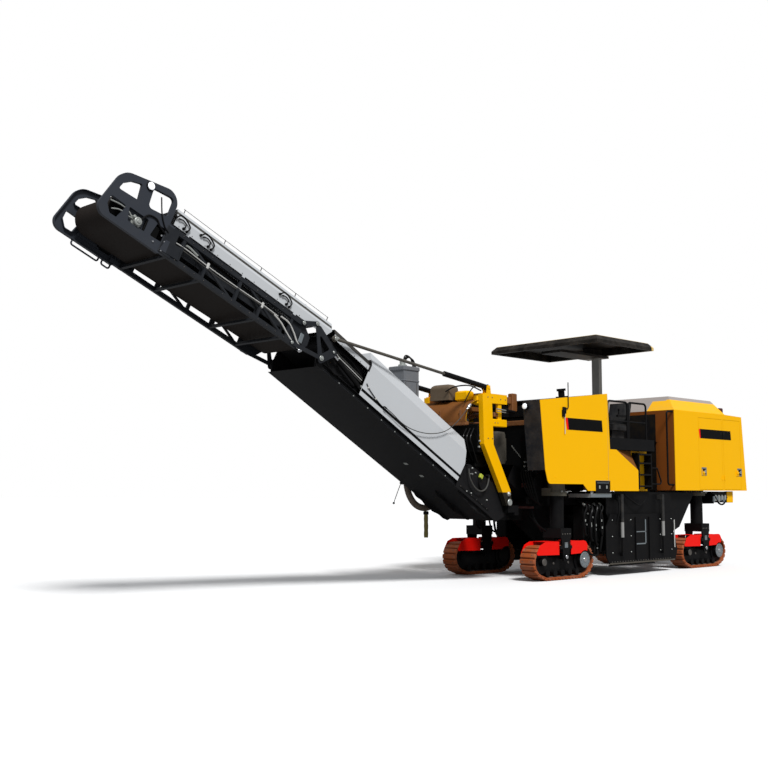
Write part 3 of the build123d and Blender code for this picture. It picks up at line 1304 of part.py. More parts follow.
def make_lift_cylinders():
    """Cylinders beside the cover that raise the whole conveyor."""
    eye = (lower_place * Pos(lift_eye_s, 0, lift_eye_n)).position
    local = (bracket_place.inverse() * Pos(eye.X, eye.Y, eye.Z)).position
    foot_x, foot_z = lift_foot
    dx, dz = local.X - foot_x, local.Z - foot_z
    length = hypot(dx, dz)
    ux, uz = dx / length, dz / length
    barrels, rods = [], []
    for side in (1, -1):
        y = side * lift_y
        barrel = pipe((foot_x + ux * 62, y, foot_z + uz * 62), (foot_x + ux * 1150, y, foot_z + uz * 1150), 45, 24 + pin_gap)
        knuckle = cross_rod(foot_x, foot_z, 50, y - 25, y + 25) - cross_rod(foot_x, foot_z, lift_pin_radius + pin_gap, y - 30, y + 30)
        neck = rod((foot_x + ux * 40, y, foot_z + uz * 40), (foot_x + ux * 80, y, foot_z + uz * 80), 28)
        barrels.append(fused(barrel, neck, knuckle))
        start, end = lift_rod_start, length - 40
        stick = rod((foot_x + ux * start, y, foot_z + uz * start), (foot_x + ux * end, y, foot_z + uz * end), 24)
        ring = cross_rod(local.X, local.Z, 45, y - 22, y + 22)
        ring = fused(stick, ring) - cross_rod(local.X, local.Z, lift_pin_radius + pin_gap, y - 40, y + 40)
        rods.append(ring)
    save("lift_barrels", [bracket_place * item for item in barrels])
    save("lift_rods", [bracket_place * item for item in rods])


def make_fold_cylinders():
    """Cylinders beside the lower section's end that fold the upper section down."""
    eye_x, eye_z = to_lower(crank_pin)
    foot_x, foot_z = fold_foot
    dx, dz = eye_x - foot_x, eye_z - foot_z
    length = hypot(dx, dz)
    ux, uz = dx / length, dz / length
    at_fold = lower_place * Pos(fold_s, 0, 0)
    barrels, rods = [], []
    for side in (1, -1):
        y = side * fold_y
        barrel = pipe((foot_x + ux * 30, y, foot_z + uz * 30), (foot_x + ux * 560, y, foot_z + uz * 560), 34, 19 + pin_gap)
        knuckle = cross_rod(foot_x, foot_z, 36, y - 20, y + 20)
        barrels.append(fused(barrel, knuckle) - cross_rod(foot_x, foot_z, fold_pin_radius + pin_gap, y - 40, y + 40))
        stick = rod((foot_x + ux * 120, y, foot_z + uz * 120), (foot_x + ux * length, y, foot_z + uz * length), 19)
        ring = cross_rod(eye_x, eye_z, 38, y - 19, y + 19)
        rods.append(fused(stick, ring))
    save("fold_barrels", [at_fold * item for item in barrels])
    save("fold_rods", [at_fold * item for item in rods])


make_crawlers()
make_columns()
make_chassis()
make_primary_conveyor()
make_drum()
make_drum_housing()
make_side_plates()
make_moldboard()
make_side_panels()
make_tanks_and_boxes()
make_front_hood()
make_hood_fittings()
make_platform()
make_operator_stations()
make_canopy()
make_ladders()
make_engine_housing()
make_doors()
make_engine()
make_bracket()
make_lower_section()
make_upper_section()
make_lift_cylinders()
make_fold_cylinders()
make_hoses()
box = Compound(children=list(saved.values())).bounding_box()
print("origin", round(origin_x, 1), "box", box.min, box.max)
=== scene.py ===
"""Looks of the cold planer: camera, light, finishes and the pieces that dress its CAD frame.

Metres. The row frame has X towards the conveyor's tip, Y to the machine's left and Z up.
Pieces are drawn in the frame of the part that carries them (see `Place`) and written in the
row frame, so that every object sits at the origin, unturned and unscaled.
"""

import json
import logging
import math
from dataclasses import dataclass, field, replace
from enum import Enum

import bpy
import numpy as np
from mathutils import Matrix, Vector


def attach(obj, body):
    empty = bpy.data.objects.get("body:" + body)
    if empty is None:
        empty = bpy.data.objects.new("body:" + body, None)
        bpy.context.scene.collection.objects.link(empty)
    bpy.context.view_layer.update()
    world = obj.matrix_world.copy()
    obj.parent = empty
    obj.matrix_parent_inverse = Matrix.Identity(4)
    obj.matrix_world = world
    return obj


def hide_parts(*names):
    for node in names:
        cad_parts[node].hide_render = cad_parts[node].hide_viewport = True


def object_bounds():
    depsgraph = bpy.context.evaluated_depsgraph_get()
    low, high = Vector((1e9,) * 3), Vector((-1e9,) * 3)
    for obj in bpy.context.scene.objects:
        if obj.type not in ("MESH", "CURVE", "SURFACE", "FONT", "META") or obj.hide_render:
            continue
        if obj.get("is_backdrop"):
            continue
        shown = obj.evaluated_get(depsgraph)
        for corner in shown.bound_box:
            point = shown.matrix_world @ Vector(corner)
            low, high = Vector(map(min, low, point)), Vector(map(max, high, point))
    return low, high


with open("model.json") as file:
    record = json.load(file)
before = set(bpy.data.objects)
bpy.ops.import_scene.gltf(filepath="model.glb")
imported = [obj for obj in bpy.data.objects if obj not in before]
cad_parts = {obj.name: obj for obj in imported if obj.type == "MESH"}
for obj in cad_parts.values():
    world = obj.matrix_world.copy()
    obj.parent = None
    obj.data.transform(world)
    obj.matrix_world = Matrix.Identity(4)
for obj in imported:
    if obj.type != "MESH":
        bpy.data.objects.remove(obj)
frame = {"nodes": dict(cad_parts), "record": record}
log = logging.getLogger("scene")

ORIGIN_X = 1.4258334      # row frame's origin, ahead of the front lifting columns
WHEELBASE = 4.707
HALF_GAUGE = 0.926
PANEL_FACE = 1.2505       # just outside the side panels and doors
CHEEK_FACE = 1.1605       # just outside the sliding side plates
SIDES = (("left", 1.0), ("right", -1.0))


# ---------------------------------------------------------------- places
@dataclass(frozen=True, eq=False)
class Place:
    """A local frame given as a 4 x 4 matrix into the row frame."""

    matrix: np.ndarray

    def points(self, local: np.ndarray) -> np.ndarray:
        """Local points (n, 3) in the row frame."""
        return local @ self.matrix[:3, :3].T + self.matrix[:3, 3]

    def moved(self, x: float, y: float, z: float, turn_y: float = 0.0, turn_z: float = 0.0) -> "Place":
        """Place moved along its own axes, then turned about its Z and Y, in degrees."""
        cy, sy = math.cos(math.radians(turn_y)), math.sin(math.radians(turn_y))
        cz, sz = math.cos(math.radians(turn_z)), math.sin(math.radians(turn_z))
        shift = np.eye(4)
        shift[:3, 3] = (x, y, z)
        about_z = np.array([[cz, -sz, 0, 0], [sz, cz, 0, 0], [0, 0, 1, 0], [0, 0, 0, 1.0]])
        about_y = np.array([[cy, 0, sy, 0], [0, 1, 0, 0], [-sy, 0, cy, 0], [0, 0, 0, 1.0]])
        return Place(self.matrix @ shift @ about_z @ about_y)


MACHINE = Place(np.eye(4)).moved(-ORIGIN_X, 0, 0)
BRACKET = MACHINE.moved(0.910, 0, 0, turn_z=3.91)          # swivel axis at its origin
LOWER = BRACKET.moved(0.149, 0, 1.356, turn_y=-28.63)      # s along X, n along Z
FOLD = LOWER.moved(4.918, 0, 0)
UPPER = FOLD.moved(0, 0, 0, turn_y=5.67)                   # measured from the fold


# ---------------------------------------------------------------- finishes
class Coat(Enum):
    """Kinds of surface; enamel alone gets a clear coat."""

    ENAMEL = "enamel"
    RUBBER = "rubber"
    BARE = "bare"
    MOULDED = "moulded"


@dataclass
class Nodes:
    """Adds nodes to a tree, feeding each input a value or another node's output."""

    tree: bpy.types.NodeTree

    def feed(self, node: bpy.types.Node, inputs: dict) -> None:
        """Sets or links a node's inputs, which are named or numbered."""
        for key, value in inputs.items():
            if isinstance(value, bpy.types.NodeSocket):
                self.tree.links.new(value, node.inputs[key])
            else:
                node.inputs[key].default_value = value

    def add(self, kind: str, inputs: dict, **settings: object) -> bpy.types.Node:
        """Adds one node.

        Args:
            kind: the shader node's type, without its first word.
            inputs: sockets, each with a value or an output to link from.
            settings: the node's own attributes, set first.

        Returns:
            The node.
        """
        node = self.tree.nodes.new(f"ShaderNode{kind}")
        for key, value in settings.items():
            setattr(node, key, value)
        self.feed(node, inputs)
        return node

    def maths(self, kind: str, first: object, second: object) -> bpy.types.NodeSocket:
        """One operation on two sockets or numbers; sums and products stay within 0 and 1."""
        held = kind in ("MULTIPLY", "ADD")
        return self.add("Math", {0: first, 1: second}, operation=kind, use_clamp=held).outputs[0]


def new_group(name: str, inputs: dict[str, str], outputs: dict[str, str]) -> tuple:
    """Empty node group with named sockets.

    Args:
        name: the group's name.
        inputs: each input's name with the end of its socket type.
        outputs: the same for the outputs.

    Returns:
        The group, its helper, the sockets that bring values in and the node that takes them out.
    """
    group = bpy.data.node_groups.new(name, "ShaderNodeTree")
    for way, sockets in (("INPUT", inputs), ("OUTPUT", outputs)):
        for label, kind in sockets.items():
            group.interface.new_socket(label, in_out=way, socket_type=f"NodeSocket{kind}")
    return group, Nodes(group), group.nodes.new("NodeGroupInput").outputs, group.nodes.new("NodeGroupOutput")


def shown(name: str, data: bpy.types.ID) -> bpy.types.Object:
    """New object in the scene."""
    item = bpy.data.objects.new(name, data)
    bpy.context.scene.collection.objects.link(item)
    return item


@dataclass(frozen=True)
class Zone:
    """Part of a piece that has a colour of its own: a box between two corners of a place."""

    low: tuple[float, float, float]
    high: tuple[float, float, float]
    colour: tuple[float, float, float]
    place: Place = MACHINE

    def mask(self, tree: bpy.types.NodeTree, coords: bpy.types.NodeSocket) -> bpy.types.NodeSocket:
        """Adds the nodes that are 1 inside the box.

        Args:
            tree: the material's nodes.
            coords: object coordinates, which are row coordinates here.

        Returns:
            The mask's socket.
        """
        back = np.linalg.inv(self.place.matrix)
        middle = (np.array(self.low) + np.array(self.high)) / 2
        nodes = Nodes(tree)
        turn = Matrix(back.tolist()).to_euler()
        at = nodes.add("Mapping", {"Vector": coords, "Location": back[:3, 3].tolist(), "Rotation": turn})
        size = {"Middle": middle.tolist(), "Half": (np.array(self.high) - middle).tolist()}
        inside = nodes.add("Group", {"Place": at.outputs["Vector"], **size}, node_tree=zone_group())
        return inside.outputs["Mask"]


@dataclass(frozen=True)
class Finish:
    """One procedural material.

    Args:
        name: the material's name.
        colour: linear base colour.
        coat: kind of surface.
        roughness: of the clean surface.
        metallic: 0 or 1.
        dust: share of the surface that pale dust takes.
        dust_colour: linear colour of that dust.
        shade: how far the slow colour drift goes.
        scale: of the grain, per metre.
        bump: height of the grain.
        slot: the record's material slot.
        glow: strength of the surface's own light.
        shine: specular level.
        zones: parts with another colour.
    """

    name: str
    colour: tuple[float, float, float]
    coat: Coat = Coat.ENAMEL
    roughness: float = 0.45
    metallic: float = 0.0
    dust: float = 0.12
    dust_colour: tuple[float, float, float] = (0.35, 0.30, 0.25)
    shade: float = 0.08
    scale: float = 40.0
    bump: float = 0.05
    slot: str = ""
    glow: float = 0.0
    shine: float = 0.2
    zones: tuple = ()
    made: dict = field(default_factory=dict, init=False, compare=False, hash=False)

    def material(self) -> bpy.types.Material:
        """The Blender material, made once."""
        if "material" in self.made:
            return self.made["material"]
        mat = bpy.data.materials.new(self.name)
        mat.use_nodes = True
        nodes = Nodes(mat.node_tree)
        place = nodes.add("TexCoord", {}).outputs["Object"]
        base = (*self.colour, 1)
        for zone in self.zones:
            mask = zone.mask(mat.node_tree, place)
            base = nodes.add("MixRGB", {"Fac": mask, 1: base, 2: (*zone.colour, 1)}).outputs[0]
        given = {"Place": place, "Base": base, "Dust colour": (*self.dust_colour, 1), "Dust": self.dust}
        given |= {"Drift": self.shade, "Scale": self.scale, "Roughness": self.roughness, "Height": self.bump}
        wear = nodes.add("Group", given, node_tree=surface_group()).outputs
        look = {"Base Color": wear["Colour"], "Roughness": wear["Roughness"], "Normal": wear["Normal"]}
        look |= {"Metallic": self.metallic, "Specular IOR Level": self.shine}
        if self.coat is Coat.ENAMEL:
            look |= {"Coat Weight": 0.06, "Coat Roughness": 0.15}
        if self.glow:
            look |= {"Emission Color": (*self.colour, 1), "Emission Strength": self.glow}
        nodes.feed(mat.node_tree.nodes["Principled BSDF"], look)
        self.made["material"] = mat
        return mat


def zone_group() -> bpy.types.NodeTree:
    """Shared node group: 1 where a place lies in a box given by its middle and half size."""
    found = bpy.data.node_groups.get("zone")
    if found:
        return found
    inputs = dict.fromkeys(("Place", "Middle", "Half"), "Vector")
    group, nodes, given, leave = new_group("zone", inputs, {"Mask": "Float"})
    away = nodes.add("VectorMath", {0: given["Place"], 1: given["Middle"]}, operation="SUBTRACT")
    away = nodes.add("VectorMath", {0: away.outputs[0]}, operation="ABSOLUTE")
    away = nodes.add("VectorMath", {0: away.outputs[0], 1: given["Half"]}, operation="SUBTRACT")
    x, y, z = nodes.add("SeparateXYZ", {0: away.outputs[0]}).outputs
    farthest = nodes.maths("MAXIMUM", nodes.maths("MAXIMUM", x, y), z)
    nodes.feed(leave, {"Mask": nodes.maths("LESS_THAN", farthest, 0.0)})
    return group


def surface_group() -> bpy.types.NodeTree:
    """Shared node group: slow colour drift, settled dust and a fine grain, all on given coordinates.

    Returns:
        A group with outputs Colour, Roughness and Normal.
    """
    found = bpy.data.node_groups.get("surface")
    if found:
        return found
    inputs = {"Place": "Vector", "Base": "Color", "Dust colour": "Color"}
    inputs |= dict.fromkeys(("Dust", "Drift", "Scale", "Roughness", "Height"), "Float")
    outputs = {"Colour": "Color", "Roughness": "Float", "Normal": "Vector"}
    group, nodes, given, leave = new_group("surface", inputs, outputs)

    def noise(scale: object, detail: float, rough: float = 0.55) -> bpy.types.NodeSocket:
        """Noise on the given place."""
        at = {"Vector": given["Place"], "Scale": scale, "Detail": detail, "Roughness": rough}
        return nodes.add("TexNoise", at).outputs["Fac"]

    slow, blotch, grain = noise(0.9, 3.0), noise(5.0, 6.0, 0.7), noise(given["Scale"], 2.0)
    drift = {"Fac": nodes.maths("MULTIPLY", slow, given["Drift"]), 1: given["Base"], 2: (0.55, 0.5, 0.45, 1)}
    darker = nodes.add("MixRGB", drift, blend_type="MULTIPLY")
    spread = nodes.add("MapRange", {"Value": blotch, "From Min": 0.42, "From Max": 0.72})
    mask = nodes.maths("MULTIPLY", spread.outputs["Result"], given["Dust"])
    dusty = nodes.add("MixRGB", {"Fac": mask, 1: darker.outputs[0], 2: given["Dust colour"]})
    rougher = nodes.maths("ADD", given["Roughness"], nodes.maths("MULTIPLY", mask, 0.5))
    rough = nodes.maths("ADD", rougher, nodes.maths("MULTIPLY", grain, 0.06))
    bump = nodes.add("Bump", {"Distance": 0.002, "Strength": given["Height"], "Height": grain})
    nodes.feed(leave, {"Colour": dusty.outputs[0], "Roughness": rough, "Normal": bump.outputs["Normal"]})
    return group


# Painted shade: brown laid on yellow parts where they lie in shade.
PAINTED_SHADE_BROWN = (0.20, 0.075, 0.022)
YELLOW = Finish(
    "yellow enamel", (0.98, 0.50, 0.0), dust=0.03, dust_colour=(0.55, 0.30, 0.02), shine=0.06,
    slot="yellow_paint"
)
GREY = Finish("blue-grey enamel", (0.30, 0.32, 0.35), slot="grey_paint")
BLACK = Finish(
    "black enamel", (0.004, 0.004, 0.0045), roughness=0.5, dust=0.12, dust_colour=(0.03, 0.026, 0.022),
    shine=0.08, slot="black_paint"
)
SLATE = Finish(
    "slate enamel", (0.016, 0.018, 0.022), roughness=0.45, dust=0.15, dust_colour=(0.06, 0.06, 0.06),
    shine=0.15, slot="slate_paint"
)
RED = Finish(
    "red enamel", (0.92, 0.008, 0.004), dust=0.04, dust_colour=(0.5, 0.1, 0.05), shine=0.1, slot="red_paint"
)
PAD = Finish(
    "worn pad", (0.36, 0.085, 0.022), Coat.RUBBER, roughness=0.55, dust=0.25, shade=0.3, bump=0.3,
    slot="track_pad"
)
RUBBER = Finish(
    "rubber", (0.008, 0.008, 0.009), Coat.RUBBER, roughness=0.6, dust=0.15, dust_colour=(0.05, 0.05, 0.05),
    shine=0.1, slot="belt_rubber"
)
WHITE = Finish(
    "white cover", (0.55, 0.57, 0.59), dust=0.06, dust_colour=(0.5, 0.48, 0.45), slot="white_cover"
)
BRIGHT = Finish(
    "bright steel", (0.62, 0.63, 0.65), Coat.BARE, roughness=0.22, metallic=1.0, dust=0.03,
    slot="bright_steel"
)
STEEL = Finish(
    "worn steel", (0.10, 0.095, 0.09), Coat.BARE, roughness=0.45, metallic=0.6, dust=0.3, slot="drum_steel"
)
VINYL = Finish(
    "seat vinyl", (0.012, 0.012, 0.013), Coat.MOULDED, roughness=0.5, scale=300, bump=0.4, slot="seat_cover"
)
SHELL = Finish("canopy shell", (0.70, 0.50, 0.18), Coat.MOULDED, roughness=0.45, slot="canopy_shell")
DARK = Finish("dark plastic", (0.02, 0.02, 0.022), Coat.MOULDED, roughness=0.5, slot="console_plastic")
ENGINE = Finish(
    "engine metal", (0.12, 0.12, 0.12), Coat.BARE, roughness=0.5, metallic=0.5, dust=0.3, slot="engine_metal"
)
HOSE = Finish("hose sheath", (0.055, 0.055, 0.052), Coat.RUBBER, roughness=0.5, slot="hose_grey")
DUCT = Finish("dusty duct", (0.10, 0.075, 0.06), Coat.RUBBER, roughness=0.7, dust=0.4, slot="hose_brown")
SLEEVE = Finish(
    "olive sleeve", (0.20, 0.17, 0.055), Coat.MOULDED, roughness=0.75, bump=0.4, slot="sleeve_fabric"
)
HUB = Finish("light grey enamel", (0.16, 0.185, 0.20), dust=0.1, slot="grey_paint")
# Yellow parts in painted shade, coloured brown.
PAINTED_SHADE_ENAMEL = Finish("painted shade enamel", PAINTED_SHADE_BROWN, dust=0.15, slot="yellow_paint")
LENS = Finish(
    "lamp lens", (0.85, 0.87, 0.90), roughness=0.1, dust=0.0, shade=0.0, bump=0.0, slot="white_cover",
    glow=0.5
)
ALLOY = Finish(
    "cast alloy", (0.42, 0.44, 0.42), Coat.BARE, roughness=0.35, metallic=0.5, dust=0.08, slot="bright_steel"
)
PALE = Finish("pale sheath", (0.55, 0.55, 0.53), Coat.MOULDED, roughness=0.5, slot="white_cover")
SEAM = Finish("seam shadow", (0.18, 0.18, 0.18), roughness=0.7, slot="white_cover")
NEAR_BLACK = Finish(
    "deep black", (0.003, 0.003, 0.003), roughness=0.55, dust=0.05, dust_colour=(0.03, 0.03, 0.03),
    shine=0.05, slot="black_paint"
)
SEAT = Finish("seat cushion vinyl", (0.020, 0.021, 0.023), roughness=0.62, dust=0.10, slot="black_paint")
FAN = Finish("fan box enamel", (0.15, 0.16, 0.175), dust=0.15, slot="grey_paint")
TANK = Finish("tank enamel grey", (0.075, 0.068, 0.055), dust=0.15, slot="grey_paint")
# Dark red: the tail lamps' own colour, and painted shade on red bars deep under the front.
DARK_RED_AND_PAINTED_SHADE = Finish("dark red and painted shade red enamel", (0.06, 0.008, 0.008), roughness=0.5, slot="red_paint")
LIME = Finish("lime valve", (0.42, 0.48, 0.05), Coat.MOULDED, roughness=0.5, slot="yellow_paint")
SLOT_FINISHES = (
    YELLOW, GREY, BLACK, SLATE, RED, PAD, RUBBER, WHITE, BRIGHT, STEEL, VINYL, SHELL, DARK, ENGINE, HOSE,
    DUCT, SLEEVE,
)
SLOTS = {finish.slot: finish for finish in SLOT_FINISHES}


# ---------------------------------------------------------------- stage
@dataclass
class Stage:
    """Camera, floor and soft light."""

    position: tuple[float, float, float] = (13.570, 12.544, 1.535)
    yaw: float = 47.147
    pitch: float = 5.909
    roll: float = 0.177
    lens: float = 48.77
    sky: float = 0.38
    sun: float = 3.3

    def camera(self) -> None:
        """Camera at the fitted place; it looks towards the machine's rear right, slightly upwards."""
        yaw, pitch, roll = (math.radians(a) for a in (self.yaw, self.pitch, self.roll))
        level = Vector((-math.cos(yaw), -math.sin(yaw), 0))
        right = Vector((level.y, -level.x, 0))
        ahead = level * math.cos(pitch) + Vector((0, 0, math.sin(pitch)))
        up = right.cross(ahead)
        across = right * math.cos(roll) + up * math.sin(roll)
        over = up * math.cos(roll) - right * math.sin(roll)
        data = bpy.data.cameras.new("camera")
        data.lens, data.sensor_width, data.clip_end = self.lens, 36, 200
        cam = shown("camera", data)
        turn = Matrix((across, over, -ahead)).transposed()
        cam.matrix_world = Matrix.Translation(self.position) @ turn.to_4x4()
        bpy.context.scene.camera = cam

    def light(self) -> None:
        """White surroundings for the camera, softer light for the machine, and one soft sun."""
        world = bpy.data.worlds.new("world")
        bpy.context.scene.world = world
        world.use_nodes = True
        nodes = Nodes(world.node_tree)
        back = world.node_tree.nodes["Background"]
        nodes.feed(back, {"Color": (0.95, 0.97, 1.0, 1), "Strength": self.sky})
        seen = nodes.add("Background", {"Color": (1, 1, 1, 1)})
        rays = nodes.add("LightPath", {}).outputs["Is Camera Ray"]
        mix = nodes.add("MixShader", {0: rays, 1: back.outputs[0], 2: seen.outputs[0]})
        nodes.feed(world.node_tree.nodes["World Output"], {"Surface": mix.outputs[0]})
        lamp = bpy.data.lights.new("sun", "SUN")
        lamp.energy, lamp.angle = self.sun, math.radians(14)
        sun = shown("sun", lamp)
        sun.rotation_euler = Vector((0.25, 0.58, 0.78)).to_track_quat("Z", "Y").to_euler()

    def floor(self) -> None:
        """Wide pale floor that keeps the machine's shadow."""
        data = bpy.data.meshes.new("floor")
        r = 400.0
        data.from_pydata([(-r, -r, 0), (r, -r, 0), (r, r, 0), (-r, r, 0)], [], [(0, 1, 2, 3)])
        mat = bpy.data.materials.new("floor")
        mat.use_nodes = True
        nodes = Nodes(mat.node_tree)
        rays = nodes.add("LightPath", {}).outputs["Is Camera Ray"]
        tone = nodes.add("MixRGB", {0: rays, 1: (0.30, 0.30, 0.30, 1), 2: (0.95, 0.95, 0.95, 1)})
        nodes.feed(mat.node_tree.nodes["Principled BSDF"], {"Base Color": tone.outputs[0], "Roughness": 0.9})
        data.materials.append(mat)
        floor = shown("floor", data)
        floor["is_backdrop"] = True

    def build(self) -> None:
        """All of the stage."""
        scene = bpy.context.scene
        scene.view_settings.view_transform = "Standard"
        self.camera()
        self.light()
        self.floor()


# ---------------------------------------------------------------- surfaces
@dataclass
class Surface:
    """Vertices (n, 3) and faces.

    Faces are quads or triangles; a triangle repeats no corner. All the makers below give closed
    surfaces whose normals point outwards.
    """

    points: np.ndarray
    faces: list

    @staticmethod
    def joined(parts: "list[Surface]") -> "Surface":
        """Several surfaces as one."""
        shift, points, faces = 0, [], []
        for part in parts:
            points.append(part.points)
            faces += [tuple(i + shift for i in f) for f in part.faces]
            shift += len(part.points)
        return Surface(np.concatenate(points), faces)

    def placed(self, matrix: np.ndarray) -> "Surface":
        """Moved by a 4 x 4 matrix."""
        return Surface(self.points @ matrix[:3, :3].T + matrix[:3, 3], self.faces)

    def shifted(self, x: float, y: float, z: float) -> "Surface":
        """Moved along the axes."""
        return Surface(self.points + np.array([x, y, z]), self.faces)

    def mirrored(self) -> "Surface":
        """Mirror image across the plane y = 0, with its normals still outwards."""
        return Surface(self.points * np.array([1, -1, 1.0]), [tuple(reversed(f)) for f in self.faces])


def rings(grid: np.ndarray) -> Surface:
    """Skin over a stack of closed rings, with a fan over the first and the last.

    Args:
        grid: (rings, points a ring, 3); each ring runs anticlockwise seen from the last ring's side.
    """
    count, around = grid.shape[:2]
    points = grid.reshape(-1, 3)
    i, j = np.meshgrid(np.arange(count - 1), np.arange(around), indexing="ij")
    k = (j + 1) % around
    low, high = i * around, (i + 1) * around
    quads = np.stack([low + j, low + k, high + k, high + j], -1).reshape(-1, 4)
    faces = [tuple(q) for q in quads.tolist()]
    last = (count - 1) * around
    points = np.concatenate([points, grid[0].mean(0, keepdims=True), grid[-1].mean(0, keepdims=True)])
    first_hub, last_hub = len(points) - 2, len(points) - 1
    faces += [(first_hub, (a + 1) % around, a) for a in range(around)]
    faces += [(last_hub, last + a, last + (a + 1) % around) for a in range(around)]
    return Surface(points, faces)


def box(low: tuple, high: tuple, chamfer: float = 0.0) -> Surface:
    """Box between two corners whose edges are cut at 45 degrees by chamfer.

    The box is a stack of four rings of eight points; the outer rings are drawn in by the chamfer.
    """
    (x0, y0, z0), (x1, y1, z1) = low, high
    c = max(chamfer, 1e-4)

    def ring(inset: float, z: float) -> list:
        """Octagon with cut corners at one height."""
        a0, a1, b0, b1 = x0 + inset, x1 - inset, y0 + inset, y1 - inset
        right = [(a1, b0 + c, z), (a1, b1 - c, z), (a1 - c, b1, z), (a0 + c, b1, z)]
        return right + [(a0, b1 - c, z), (a0, b0 + c, z), (a0 + c, b0, z), (a1 - c, b0, z)]

    return rings(np.array([ring(c, z0), ring(0, z0 + c), ring(0, z1 - c), ring(c, z1)]))


def path_frames(path: np.ndarray) -> tuple[np.ndarray, np.ndarray, np.ndarray]:
    """Unit tangents and two unit normals along a path, turned as little as possible from point to point."""
    tangents = np.gradient(path, axis=0)
    tangents /= np.linalg.norm(tangents, axis=1, keepdims=True)
    start = np.array([0, 0, 1.0]) if abs(tangents[0][2]) < 0.9 else np.array([0, 1.0, 0])
    across = np.zeros_like(path)
    side = np.cross(tangents[0], start)
    for i, tangent in enumerate(tangents):
        side = side - tangent * side.dot(tangent)
        side /= np.linalg.norm(side)
        across[i] = side
    return tangents, across, np.cross(tangents, across)


def tube(path: np.ndarray, radius: float | np.ndarray, around: int = 10) -> Surface:
    """Round tube: a circle carried along a path, closed at both ends."""
    path = np.asarray(path, float)
    tangents, across, over = path_frames(path)
    angle = np.linspace(0, 2 * math.pi, around, endpoint=False)
    size = np.broadcast_to(np.asarray(radius, float), (len(path),))[:, None, None]
    cos, sin = np.cos(angle)[None, :, None], np.sin(angle)[None, :, None]
    return rings(path[:, None] + size * (across[:, None] * cos + over[:, None] * sin))


def smooth(points: list, steps: int = 8) -> np.ndarray:
    """Path through points as a Catmull-Rom curve, steps to a span."""
    p = np.asarray(points, float)
    p = np.concatenate([2 * p[:1] - p[1:2], p, 2 * p[-1:] - p[-2:-1]])
    t = np.linspace(0, 1, steps, endpoint=False)[:, None]
    spans = []
    for a, b, c, d in zip(p[:-3], p[1:-2], p[2:-1], p[3:]):
        bend, twist = 2 * a - 5 * b + 4 * c - d, 3 * b - a - 3 * c + d
        spans.append(0.5 * (2 * b + (c - a) * t + bend * t ** 2 + twist * t ** 3))
    return np.concatenate([*spans, p[-2:-1]])


def hose(points: list, radius: float, around: int = 10) -> Surface:
    """Smooth round hose through points: a circle carried along their Catmull-Rom curve."""
    return tube(smooth(points), radius, around)


def lathe(profile: list, around: int = 24) -> Surface:
    """Solid of revolution about Z from (radius, z) pairs that go upwards; a radius of 0 closes an end."""
    rows = np.array([(max(r, 1e-5), z) for r, z in profile])
    angle = np.linspace(0, 2 * math.pi, around, endpoint=False)
    radius, height = rows[:, :1], np.repeat(rows[:, 1:], around, 1)
    return rings(np.stack([radius * np.cos(angle), radius * np.sin(angle), height], -1))


def turned(place: tuple, degrees: float, axis: str = "Y") -> np.ndarray:
    """Matrix that turns about an axis and then moves to a place."""
    return np.array(Matrix.Translation(place) @ Matrix.Rotation(math.radians(degrees), 4, axis))


def disc(
    x: float, z: float, radius: float, y0: float, y1: float, rim: float = 0.004, around: int = 24
) -> Surface:
    """Round disc along Y between two Y values, with a chamfered outer rim."""
    deep = abs(y1 - y0)
    shape = lathe([(0, 0), (radius, 0), (radius, deep - rim), (radius - rim, deep), (0, deep)], around)
    return shape.placed(turned((x, y0, z), -90 if y1 > y0 else 90, "X"))


def prism(outline: list, y0: float, y1: float) -> Surface:
    """Plate whose outline lies in X and Z (any simple polygon), between two Y values."""
    pts = np.array(outline, float)
    area = np.sum(pts[:, 0] * np.roll(pts[:, 1], -1) - np.roll(pts[:, 0], -1) * pts[:, 1])
    if area < 0:
        pts = pts[::-1]
    low, high = min(y0, y1), max(y0, y1)
    n = len(pts)
    points = np.concatenate([np.insert(pts, 1, low, axis=1), np.insert(pts, 1, high, axis=1)])
    faces = [tuple(range(n)), tuple(reversed(range(n, 2 * n)))]
    faces += [((i + 1) % n, i, i + n, (i + 1) % n + n) for i in range(n)]
    return Surface(points, faces)


def bar(start: tuple, end: tuple, radius: float, around: int = 10) -> Surface:
    """Straight round bar."""
    return tube(np.array([start, end], float), radius, around)


@dataclass
class Piece:
    """One shown object: surfaces in a place, each with a finish, riding on a body."""

    name: str
    body: str
    place: Place = MACHINE
    smooth: bool = True
    parts: list = field(default_factory=list)

    def add(self, finish: Finish, *surfaces: Surface) -> "Piece":
        """Adds surfaces in one finish."""
        self.parts += [(finish, s) for s in surfaces]
        return self

    def pair(self, finish: Finish, *surfaces: Surface) -> "Piece":
        """Adds surfaces and their mirror images in one finish."""
        return self.add(finish, *surfaces, *[s.mirrored() for s in surfaces])

    def on_side(self, sign: float) -> "Piece":
        """Mirrors what was added so far when the sign is negative."""
        if sign < 0:
            self.parts = [(finish, surface.mirrored()) for finish, surface in self.parts]
        return self

    def build(self, replaces: tuple = ()) -> bpy.types.Object:
        """Writes the mesh in the row frame and hands the object to its body."""
        finishes = list(dict.fromkeys(f for f, _ in self.parts))
        whole = Surface.joined([s for _, s in self.parts])
        numbers = np.concatenate([np.full(len(s.faces), finishes.index(f)) for f, s in self.parts])
        data = bpy.data.meshes.new(self.name)
        data.from_pydata(self.place.points(whole.points).tolist(), [], whole.faces)
        for finish in finishes:
            data.materials.append(finish.material())
        data.polygons.foreach_set("material_index", numbers.astype(np.int32))
        data.polygons.foreach_set("use_smooth", np.full(len(whole.faces), self.smooth))
        data.update()
        if self.smooth:
            data.set_sharp_from_angle(angle=math.radians(35))
        item = shown(self.name, data)
        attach(item, self.body)
        if replaces:
            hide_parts(*replaces)
        return item


